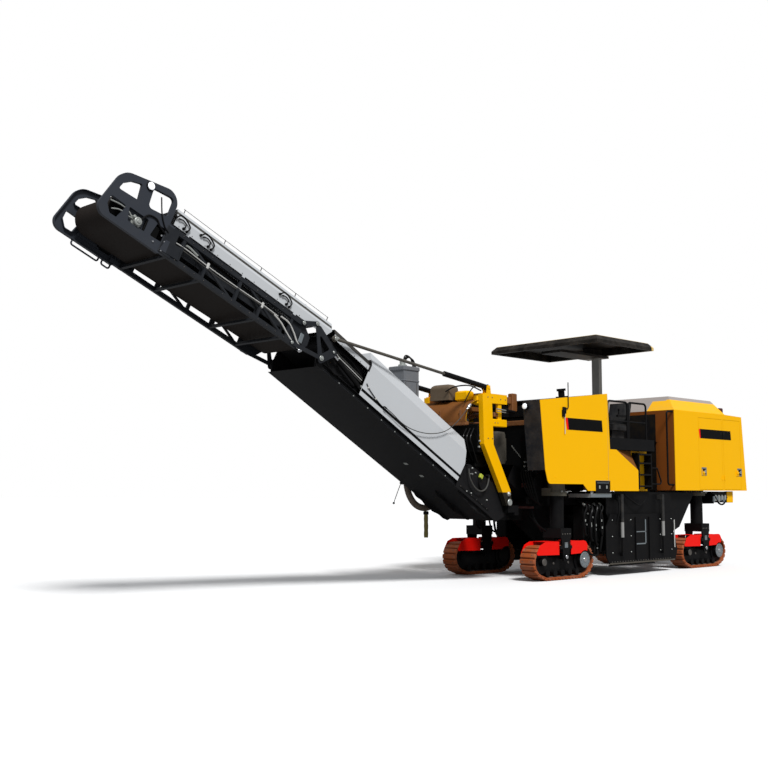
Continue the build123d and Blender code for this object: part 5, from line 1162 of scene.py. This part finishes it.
# ---------------------------------------------------------------- front
@dataclass
class FrontDressing(Dressing):
    """Slewing bracket's inner bars and fittings, and what stands between it and the front panels."""

    beam_y: tuple = (0.573, 0.660)
    column_bolts: int = 12
    bolt_circle: float = 0.167

    def bracket(self) -> Piece:
        """Bracket's beam, web and cross bars, its slewing cylinder and the pins' caps; x from the swivel."""
        item = Piece("bracket_fittings", "bracket", BRACKET)
        y0, y1 = self.beam_y
        item.pair(
            YELLOW,
            box((0.170, y0, 2.660), (0.590, y1, 2.790), 0.010),
            box((0.305, y0 + 0.015, 2.780), (0.405, y1 - 0.015, 3.065), 0.008),
        )
        # Brown boxes are painted shade: yellow blocks under the bracket's beams.
        item.pair(
            PAINTED_SHADE_ENAMEL,
            box((-0.110, y0, 2.950), (0.030, y1 + 0.020, 3.270), 0.012),
            box((0.00, y0 + 0.01, 3.08), (0.19, y1 - 0.01, 3.20), 0.01),
        )
        # Painted shade: brown on the yellow cross bars.
        item.add(PAINTED_SHADE_ENAMEL, box((0.42, -y1, 2.830), (0.53, y1, 2.905), 0.012))
        item.add(PAINTED_SHADE_ENAMEL, box((0.10, -0.572, 2.700), (0.20, 0.572, 2.780), 0.012))
        y = 0.700
        item.pair(
            ALLOY,
            bar((0.52, y, 2.965), (0.06, y, 2.935), 0.012, 12),
            bar((0.52, y, 2.925), (0.20, y, 2.905), 0.008),
        )
        barrel = bar((0.24, y, 2.947), (0.02, y, 2.932), 0.030, 16)
        item.pair(BLACK, barrel, box((0.20, 0.655, 2.90), (0.26, 0.72, 2.99), 0.006))
        item.pair(
            ALLOY, disc(0.157, 1.500, 0.040, 0.655, y, 0.018), disc(0.149, 1.356, 0.060, 0.680, y, 0.008)
        )
        item.pair(YELLOW, disc(0.690, 3.330, 0.036, 0.660, 0.672, 0.004))
        for x, z in ((0.60, 3.16), (0.72, 3.16), (0.60, 2.45), (0.72, 2.45), (0.36, 3.14), (0.22, 3.14)):
            item.pair(STEEL, bolt(x, z, 0.6615, 0.011))
        for x in (0.16, 0.44, 0.52):
            item.pair(STEEL, bolt(x, 2.725, y1, 0.010))
        return item

    def cowl(self) -> Piece:
        """Black boxes and hoses under the cowl, yellow blocks beside the dome and ribs on the cowl."""
        item = Piece("cowl_fittings", "bracket", BRACKET)
        item.add(YELLOW, box((0.80, 0.14, 3.09), (1.00, 0.44, 3.27), 0.03))
        item.add(YELLOW, box((0.70, 0.44, 3.02), (0.88, 0.572, 3.20), 0.03))
        item.add(NEAR_BLACK, box((0.62, -0.56, 2.20), (0.86, 0.56, 2.70), 0.02))
        item.add(NEAR_BLACK, box((0.55, -0.45, 1.95), (0.80, 0.45, 2.20), 0.02))
        # Brown bar and ribs: painted shade on the cowl's yellow.
        item.add(PAINTED_SHADE_ENAMEL, box((1.12, -0.565, 2.66), (1.208, 0.565, 2.725), 0.01))
        for y in (-0.45, 0.0, 0.45):
            item.add(PAINTED_SHADE_ENAMEL, box((1.195, y - 0.02, 2.75), (1.216, y + 0.02, 2.92), 0.006))
        for k, y in enumerate((0.30, 0.38, 0.46)):
            path = [
                (0.86, y, 2.62), (0.98, y + 0.02, 2.45), (0.95, y + 0.04, 2.20 + 0.05 * k), (0.78, y, 2.05)
            ]
            item.add(BLACK, hose(path, 0.016))
        for k in range(3):
            item.add(ALLOY, disc(0.86 - 0.02 * k, 2.30 + 0.1 * k, 0.018, 0.56, 0.59, 0.004, 8))
        path = [(0.70, 0.50, 3.28), (0.90, 0.40, 3.36), (1.05, 0.20, 3.34), (1.12, 0.05, 3.26)]
        item.add(BLACK, hose(path, 0.012))
        path = [(0.66, 0.55, 3.22), (0.80, 0.56, 3.34), (1.00, 0.55, 3.30), (1.16, 0.50, 3.05)]
        item.add(BLACK, hose(path, 0.010))
        return item

    def fan_box(self) -> Piece:
        """Dust extraction's grey fan box, upright on the conveyor's cover, with its stub and hoses."""
        item = Piece("fan_box", "lower_conveyor", BRACKET)
        item.add(FAN, prism([(1.57, 2.640), (1.95, 2.848), (1.95, 3.610), (1.57, 3.610)], -0.50, -0.17))
        item.add(FAN, box((1.553, -0.517, 3.585), (1.967, -0.153, 3.660), 0.012))
        item.add(FAN, box((1.560, -0.510, 3.400), (1.960, -0.160, 3.425), 0.006))
        item.add(STEEL, *[box((x, -0.1705, 2.95), (x + 0.012, -0.165, 3.38), 0.002) for x in (1.62, 1.90)])
        stub = [(0, 3.655), (0.075, 3.655), (0.075, 3.690), (0.050, 3.700), (0.050, 3.770), (0.030, 3.790)]
        item.add(ALLOY, lathe([*stub, (0, 3.79)], 20).shifted(1.84, -0.30, 0))
        for k in range(3):
            y = -0.30 + 0.03 * k
            path = [(1.82, y, 3.78), (1.76, y, 3.86 - 0.02 * k), (1.66, y + 0.02, 3.82 - 0.02 * k)]
            item.add(BLACK, hose([*path, (1.60, y + 0.03, 3.66)], 0.012, 8))
        return item

    def middle(self) -> Piece:
        """Upright tank, mast's lower cross bar, lever, valve block with fittings, and the crawlers' hoses."""
        item = Piece("front_machinery", "machine")
        wall = [
            (0, 2.02), (0.150, 2.02), (0.168, 2.045), (0.168, 2.58), (0.150, 2.625), (0.05, 2.64), (0, 2.64)
        ]
        item.add(TANK, lathe(wall, 32).shifted(0.535, -0.02, 0))
        item.add(TANK, box((0.34, -0.10, 2.10), (0.42, 0.06, 2.52), 0.01))
        # Black block: partly painted shade filling the gap under the deck, partly dark machinery there.
        item.add(NEAR_BLACK, box((-1.00, -0.80, 1.555), (-0.17, 0.80, 1.86), 0.02))
        # Brown: painted shade on the mast's yellow lower cross bar.
        item.add(PAINTED_SHADE_ENAMEL, box((0.345, -0.58, 2.735), (0.400, 0.86, 2.825), 0.010))
        # Dark red: painted shade on red bars under the front.
        item.add(DARK_RED_AND_PAINTED_SHADE, box((0.350, -0.58, 1.62), (0.380, 0.58, 1.70), 0.008))
        item.add(DARK_RED_AND_PAINTED_SHADE, box((0.352, -0.70, 1.245), (0.372, 0.70, 1.285), 0.006))
        item.add(ALLOY, bar((0.60, 0.40, 2.36), (0.42, 0.46, 2.16), 0.012, 10))
        item.add(BLACK, box((0.345, 0.55, 1.86), (0.46, 0.84, 2.14), 0.012))
        item.add(BLACK, box((0.36, 0.60, 1.62), (0.44, 0.78, 1.80), 0.01))
        for k in range(9):
            y, z = 0.60 + 0.08 * (k % 3), 1.92 + 0.075 * (k // 3)
            item.add(ALLOY, bar((0.455, y, z), (0.490 + 0.01 * (k % 2), y, z), 0.016, 8))
        for k in range(5):
            y = 0.58 + 0.055 * k
            path = [
                (0.49, y, 1.95), (0.56, y, 1.86), (0.52, y + 0.03, 1.66), (0.40, y + 0.05, 1.45 - 0.03 * k)
            ]
            item.add(BLACK, hose([*path, (0.22, y, 1.36)], 0.014, 8))
        drops = []
        for k, (x, y) in enumerate(((0.28, 0.62), (0.22, 0.50))):
            path = [(x, y, 1.30), (x + 0.05, y + 0.03, 1.14), (x + 0.02, y + 0.12, 0.96 + 0.05 * k)]
            drops.append(hose([*path, (0.10, y + 0.18, 0.82)], 0.017))
        return item.pair(BLACK, *drops)

    def columns(self) -> Piece:
        """Bolts and silver fittings on the front and rear columns' flanges."""
        item = Piece("column_fittings", "machine")
        for x in (0.0, -WHEELBASE):
            for angle in np.arange(self.column_bolts) * 2 * math.pi / self.column_bolts:
                head = lathe([(0, 0), (0.013, 0), (0.013, 0.014), (0, 0.016)], 6)
                y = HALF_GAUGE + self.bolt_circle * math.sin(angle)
                item.pair(STEEL, head.shifted(x + self.bolt_circle * math.cos(angle), y, 1.580))
            item.pair(
                ALLOY,
                disc(x - 0.05, 1.54, 0.022, 1.105, 1.135, 0.005, 8),
                disc(x + 0.08, 1.55, 0.016, 1.095, 1.120, 0.004, 8),
            )
        return item

    def pieces(self) -> list[Piece]:
        """All of them, in order."""
        return [self.bracket(), self.cowl(), self.fan_box(), self.middle(), self.columns()]


# ---------------------------------------------------------------- body
@dataclass
class BodyDressing(Dressing):
    """Plates, lamps, latches and trim on the yellow body."""

    plates_x: tuple = (("front", -5.277, -4.380, -4.500), ("rear", -5.610, -5.283, -5.955))
    roof_louvres: int = 12
    hatch_louvres: int = 14

    def plates(self) -> Piece:
        """Front panels' dark plates with a red leading edge, their bolts, small box, pale rod and seam."""
        item = Piece("side_plates_trim", "machine")
        y = PANEL_FACE
        front = [(0.075, 2.850), (-0.955, 2.850), (-0.975, 2.640), (0.045, 2.640)]
        edge = [(0.140, 2.850), (0.075, 2.850), (0.045, 2.640), (0.090, 2.640)]
        item.pair(NEAR_BLACK, prism(front, y, y + 0.003))
        item.pair(RED, prism(edge, y, y + 0.003))
        item.pair(YELLOW, *[bolt(x, z, y, 0.008) for x, z in ((-1.10, 2.90), (-1.10, 1.80), (0.45, 1.80))])
        item.pair(
            BLACK,
            box((0.130, y, 2.915), (0.225, y + 0.028, 3.035), 0.008),
            disc(0.170, 2.965, 0.022, y + 0.026, y + 0.036, 0.005),
        )
        item.pair(PALE, tube(np.array([(0.165, y + 0.016, 2.915), (0.168, y + 0.016, 2.560)]), 0.008, 10))
        item.pair(NEAR_BLACK, box((-5.290, y, 2.655), (-5.270, 1.2600, 2.845), 0.003))
        item.pair(SEAM, box((-1.138, y - 0.001, 1.70), (-1.134, y + 0.001, 3.34), 0.0005))
        return item

    def doors(self) -> list[Piece]:
        """Plate halves and latches on the two doors of each side."""
        made = []
        for side, sign in SIDES:
            for end, low, high, latch in self.plates_x:
                item = Piece(f"door_trim_{side}_{end}", f"engine_door_{side}_{end}")
                y = PANEL_FACE
                slant = [(low - 0.02 * (end == "rear"), 2.655), (high - 0.02 * (end == "front"), 2.655)]
                item.add(NEAR_BLACK, prism([(high, 2.845), (low, 2.845), *slant], y, y + 0.004))
                if end == "front":
                    edge = [(high + 0.05, 2.845), (high, 2.845), (high - 0.02, 2.655), (high + 0.02, 2.655)]
                    item.add(RED, prism(edge, y, y + 0.003))
                item.add(HUB, box((latch - 0.095, y, 1.885), (latch + 0.095, y + 0.006, 2.055), 0.003))
                well = box((latch - 0.060, y + 0.004, 1.915), (latch + 0.060, y + 0.014, 2.025), 0.004)
                paddle = box((latch - 0.040, y + 0.012, 1.935), (latch + 0.006, y + 0.024, 2.005), 0.004)
                lock = disc(latch + 0.035, 1.970, 0.012, y + 0.012, y + 0.022, 0.003)
                made.append(item.add(NEAR_BLACK, well).add(ALLOY, paddle, lock).on_side(sign))
        return made

    def lamps(self) -> Piece:
        """Front lamps' lenses and tail lamps."""
        item = Piece("lamp_lenses", "machine")
        for sign in (1, -1):
            lift = np.linspace(-0.3, math.pi / 2, 7)
            dome = lathe([(0.050 * math.cos(a), 0.030 * math.sin(a)) for a in lift], 24)
            item.add(LENS, dome.placed(turned((0.905, sign * 0.960, 3.026), 84)))
            y = sign * 1.09
            item.add(DARK_RED_AND_PAINTED_SHADE, box((-5.52, y - 0.06, 3.20), (-5.40, y + 0.06, 3.34), 0.012))
        return item

    def roof(self) -> Piece:
        """Louvres on the roof."""
        item = Piece("roof_trim", "machine")
        for k in range(self.roof_louvres):
            x = -4.35 - 0.11 * k
            item.add(DARK, box((x, -0.55, 3.498), (x + 0.05, 0.55, 3.5015), 0.0015))
        return item

    def rear(self) -> Piece:
        """Louvres of the rear hatch and its handle."""
        item = Piece("hatch_louvres", "rear_hatch")
        lean = (6.250 - 6.100) / (3.170 - 1.580)
        for k in range(self.hatch_louvres):
            z = 1.90 + 0.065 * k
            x = -6.250 + (z - 1.580) * lean
            item.add(YELLOW, box((x - 0.022, -0.70, z), (x + 0.004, 0.70, z + 0.030), 0.008))
        item.add(BLACK, box((-6.245, -0.10, 1.80), (-6.215, 0.10, 1.83), 0.006))
        return item

    def pieces(self) -> list[Piece]:
        """All of them, in order."""
        return [self.plates(), *self.doors(), self.lamps(), self.roof(), self.rear()]


# ---------------------------------------------------------------- under the machine
@dataclass
class UnderDressing(Dressing):
    """Hoses, rods and fittings along the lower edge of the machine."""

    drops: tuple = (
        (-0.62, 1.12, 1.40, 0.82), (-0.70, 1.08, 1.42, 0.60), (-0.78, 1.13, 1.38, 0.72),
        (-0.86, 1.06, 1.42, 0.46), (-0.94, 1.12, 1.40, 0.64), (-1.02, 1.09, 1.42, 0.52),
        (-1.10, 1.13, 1.40, 0.80),
    )
    block_ports: tuple = (
        (-0.70, 0.95), (-0.80, 0.80), (-0.98, 0.90), (-0.74, 1.15), (-1.00, 0.52), (-0.88, 1.08),
    )
    pale_plugs: int = 7
    tail_fittings: int = 8

    def boxes(self) -> Piece:
        """Tool boxes' lids and latches, and the fittings on their brackets."""
        item = Piece("toolbox_trim", "machine")
        y = 1.247
        item.pair(
            HUB,
            box((-1.185, 1.048, 1.738), (-0.735, y + 0.003, 1.752), 0.004),
            box((-1.14, y - 0.001, 1.70), (-0.78, y + 0.004, 1.712), 0.002),
        )
        item.pair(ALLOY, *[box((x, y, 1.60), (x + 0.04, y + 0.012, 1.66), 0.004) for x in (-1.09, -0.87)])
        for k in range(self.pale_plugs):
            x = -1.17 + 0.085 * k
            plug = lathe([(0, 1.505), (0.020, 1.505), (0.020, 1.545), (0.012, 1.562), (0, 1.562)], 10)
            item.pair(PALE, plug.shifted(x, 1.175 if k % 2 else 1.205, 0))
        item.pair(HUB, box((-1.235, 1.226, 1.442), (-0.600, 1.240, 1.508), 0.004))
        return item

    def hoses(self) -> Piece:
        """Bundle of hoses with their fittings ahead of the drum housing, over a dark block with ports."""
        item = Piece("side_hoses", "machine")
        for number, (x, y, top, low) in enumerate(self.drops):
            lean = 0.10 * (-1) ** number
            mid = (top + low) / 2
            path = [(x, y - 0.2, top), (x, y, top - 0.12), (x + lean, y + 0.02, mid), (x + lean / 2, y, low)]
            path += [(x - 0.08, y - 0.06, low - 0.06), (x - 0.22, y - 0.25, low + 0.06)]
            item.pair(BLACK, hose(path, 0.017 + 0.003 * (number % 3)))
            item.pair(ALLOY, tube(np.array([(x, y - 0.08, top - 0.07), (x, y - 0.03, top - 0.10)]), 0.022, 8))
            clamp = lathe([(0, -0.02), (0.024, -0.02), (0.024, 0.02), (0, 0.02)], 8)
            item.pair(ALLOY, clamp.shifted(x + lean * 0.8, y + 0.015, mid - 0.08))
        upper = box((-1.12, 0.80, 0.62), (-0.62, 1.05, 1.30), 0.02)
        item.pair(NEAR_BLACK, upper, box((-1.10, 0.82, 0.40), (-0.80, 1.04, 0.62), 0.02))
        path = [(-1.10, 1.0, 0.50), (-0.95, 1.10, 0.40), (-0.75, 1.10, 0.42), (-0.62, 1.0, 0.55)]
        item.pair(BLACK, hose(path, 0.020))
        item.pair(ALLOY, *[bar((x, 1.056, z), (x, 1.072, z), 0.016, 8) for x, z in self.block_ports])
        return item

    def housing(self) -> Piece:
        """Hoses on the drum housing's cheeks."""
        item = Piece("housing_trim", "machine")
        path = [(-1.75, 1.16, 1.50), (-1.95, 1.20, 1.38), (-2.20, 1.20, 1.30), (-2.45, 1.18, 1.42)]
        item.pair(BLACK, hose(path, 0.016))
        item.pair(BLACK, hose([(-1.55, 1.17, 1.48), (-1.50, 1.22, 1.20), (-1.45, 1.20, 1.00)], 0.014))
        return item

    def plates(self) -> list[Piece]:
        """Ribs, bolts, pale rod and skid of the sliding side plates, which ride with them."""
        made = []
        for side, sign in SIDES:
            item = Piece(f"side_plate_trim_{side}", f"side_plate_{side}")
            y = CHEEK_FACE
            for x in np.arange(-3.3, -1.3, 0.085):
                item.add(STEEL, box((x, y, 0.245), (x + 0.035, y + 0.008, 0.262), 0.003))
            item.add(TANK, box((-3.45, y, 0.205), (-1.25, y + 0.010, 0.235), 0.004))
            for x in (-3.35, -2.95, -1.95, -1.35):
                item.add(ALLOY, *[disc(x, z, 0.012, y, y + 0.010, 0.003, 6) for z in (0.42, 0.72, 1.02)])
            item.add(PALE, bar((-3.43, y + 0.020, 0.46), (-3.43, y + 0.020, 1.00), 0.011))
            for far, low, high in ((-2.42, 0.55, 1.02), (-2.12, 0.55, 0.575), (-2.12, 0.78, 0.80)):
                item.add(HUB, box((-2.45, y, low), (far, y + 0.012, high), 0.003))
            made.append(item.on_side(sign))
        return made

    def tail(self) -> Piece:
        """Hose, fittings and yellow end plates under the rear of the machine."""
        item = Piece("tail_fittings", "machine")
        item.pair(YELLOW, box((-5.812, 1.10, 1.325), (-5.560, 1.160, 1.565), 0.006))
        for k in range(self.tail_fittings):
            x = -5.02 - 0.065 * k
            low, high = 1.34 + 0.02 * (k % 3), 1.46 + 0.03 * (k % 2)
            item.pair(ALLOY if k % 2 else HUB, box((x, 1.150, low), (x + 0.045, 1.190, high), 0.008))
        path = [(-5.0, 1.17, 1.50), (-5.15, 1.19, 1.32), (-5.35, 1.19, 1.30), (-5.52, 1.17, 1.44)]
        item.pair(BLACK, hose(path, 0.018))
        return item

    def pieces(self) -> list[Piece]:
        """All of them, in order."""
        return [self.boxes(), self.hoses(), self.housing(), *self.plates(), self.tail()]


# ---------------------------------------------------------------- operators' seats
@dataclass
class Stations:
    """Operators' seats with padded cushions, and the desks' small controls."""

    seat_y: float = 0.700
    seat: tuple = (0.252, 0.232, 0.066)
    rest: tuple = (0.215, 0.222, 0.052)
    fill: float = 0.85

    def cushion(self, half: tuple, roundness: float = 0.30) -> Surface:
        """Crowned closed cushion about the origin, with a welt round its edge and two sewn grooves.

        A rounded block: each coordinate is the half size times a power of the sine or cosine of two
        angles. The welt widens the outline by a narrow bell curve at the middle height, and the grooves
        sink the top by bell curves at 45 % of the half width.

        Args:
            half: half sizes along x, y and z.
            roundness: 1 gives an ellipsoid and values near 0 a box.

        Returns:
            The closed surface.
        """
        def power(v: np.ndarray, e: float) -> np.ndarray:
            """Signed power."""
            return np.sign(v) * np.abs(v) ** e

        up = np.linspace(-math.pi / 2, math.pi / 2, 33)[1:-1, None]
        around = np.linspace(0, 2 * math.pi, 72, endpoint=False)[None]
        plan = np.abs(np.cos(up)) ** 0.34 * (1 + 0.016 * np.exp(-(np.sin(up) / 0.10) ** 2))
        x = half[0] * plan * power(np.cos(around), roundness)
        y = half[1] * plan * power(np.sin(around), roundness)
        z = half[2] * power(np.sin(up), 0.62) * (1 + 0 * around)
        groove = sum(np.exp(-((y / half[1] - c) / 0.05) ** 2) for c in (-0.45, 0.45))
        crown = 0.10 * (1 - (x / half[0]) ** 2) * (1 - (y / half[1]) ** 2)
        z = z + np.where(z > 0, half[2] * (crown - 0.13 * groove * (np.abs(x) < 0.86 * half[0])), 0)
        return rings(np.stack([x, y, z], -1))

    def seat_pieces(self, side: str, sign: float) -> int:
        """Cushion and back rest of one seat, and its arm rests, sticks and pan."""
        y = sign * self.seat_y
        pad = Piece(f"seat_cushion_{side}", "machine")
        pad.add(SEAT, self.cushion(self.seat).shifted(-2.05, y, 2.795))
        pad.build()
        back = Piece(f"seat_back_{side}", "machine")
        back.add(SEAT, self.cushion(self.rest).placed(turned((-2.318, y, 3.065), 76.6)))
        back.build()
        trim = Piece(f"seat_trim_{side}", "machine")
        stick = [(0, 3.03), (0.014, 3.03), (0.010, 3.09), (0.020, 3.11), (0.018, 3.14), (0, 3.15)]
        for arm in (y - 0.255, y + 0.255):
            trim.add(BLACK, box((-2.262, arm - 0.029, 2.978), (-1.872, arm + 0.029, 3.030), 0.016))
            trim.add(BLACK, lathe(stick, 14).shifted(-1.93, arm, 0))
        trim.add(STEEL, box((-2.30, y - 0.18, 2.72), (-1.84, y + 0.18, 2.74), 0.008))
        trim.build()
        return 3

    def desk(self, side: str, sign: float) -> int:
        """Sloping face with buttons, a lever and a small lidded panel on one desk."""
        y = sign * self.seat_y
        item = Piece(f"desk_controls_{side}", "machine")
        slope = turned((-1.340, y, 3.120), -41.2)
        item.add(NEAR_BLACK, box((-0.095, -0.235, -0.004), (0.095, 0.235, 0.006), 0.003).placed(slope))
        for row in range(3):
            for column in range(6):
                finish = (RED, LIME, PALE, YELLOW)[(row + column) % 4] if column % 2 else HUB
                knob = lathe([(0, 0.004), (0.012, 0.004), (0.012, 0.016), (0.009, 0.019), (0, 0.019)], 12)
                item.add(finish, knob.shifted(-0.055 + 0.055 * row, -0.19 + 0.052 * column, 0).placed(slope))
        item.add(DARK, box((-0.075, 0.115, 0.004), (0.075, 0.215, 0.012), 0.003).placed(slope))
        ball = lathe([(0, 3.25), (0.016, 3.255), (0.021, 3.275), (0.016, 3.295), (0, 3.30)], 14)
        item.add(BLACK, bar((-1.30, y, 3.15), (-1.34, y, 3.26), 0.008), ball.shifted(-1.342, y, 0))
        item.build()
        return 1

    def build(self) -> int:
        """All of the stations; returns how many pieces."""
        return sum(self.seat_pieces(side, sign) + self.desk(side, sign) for side, sign in SIDES)


# ---------------------------------------------------------------- run
def record_size(stage: str, sizes: dict) -> None:
    """Keeps the shown object's lowest and highest corner under a name."""
    low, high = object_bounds()
    sizes[stage] = [list(low), list(high)]


def main() -> None:
    """Builds the scene in order and reports what was made."""
    logging.basicConfig(level=logging.INFO, format="%(message)s")
    sizes: dict = {}
    record_size("frame", sizes)
    Stage().build()
    for label, make in (
        ("cords", Cords().build), ("CAD nodes dressed", CadFinish().dress), ("crawlers", Crawlers().build),
        ("upper section", UpperDressing().build), ("lower section", LowerDressing().build),
        ("front", FrontDressing().build), ("body", BodyDressing().build), ("under", UnderDressing().build),
        ("stations", Stations().build),
    ):
        log.info("%s: %d", label, make())
    record_size("dressed", sizes)


if __name__ == "__main__":
    main()
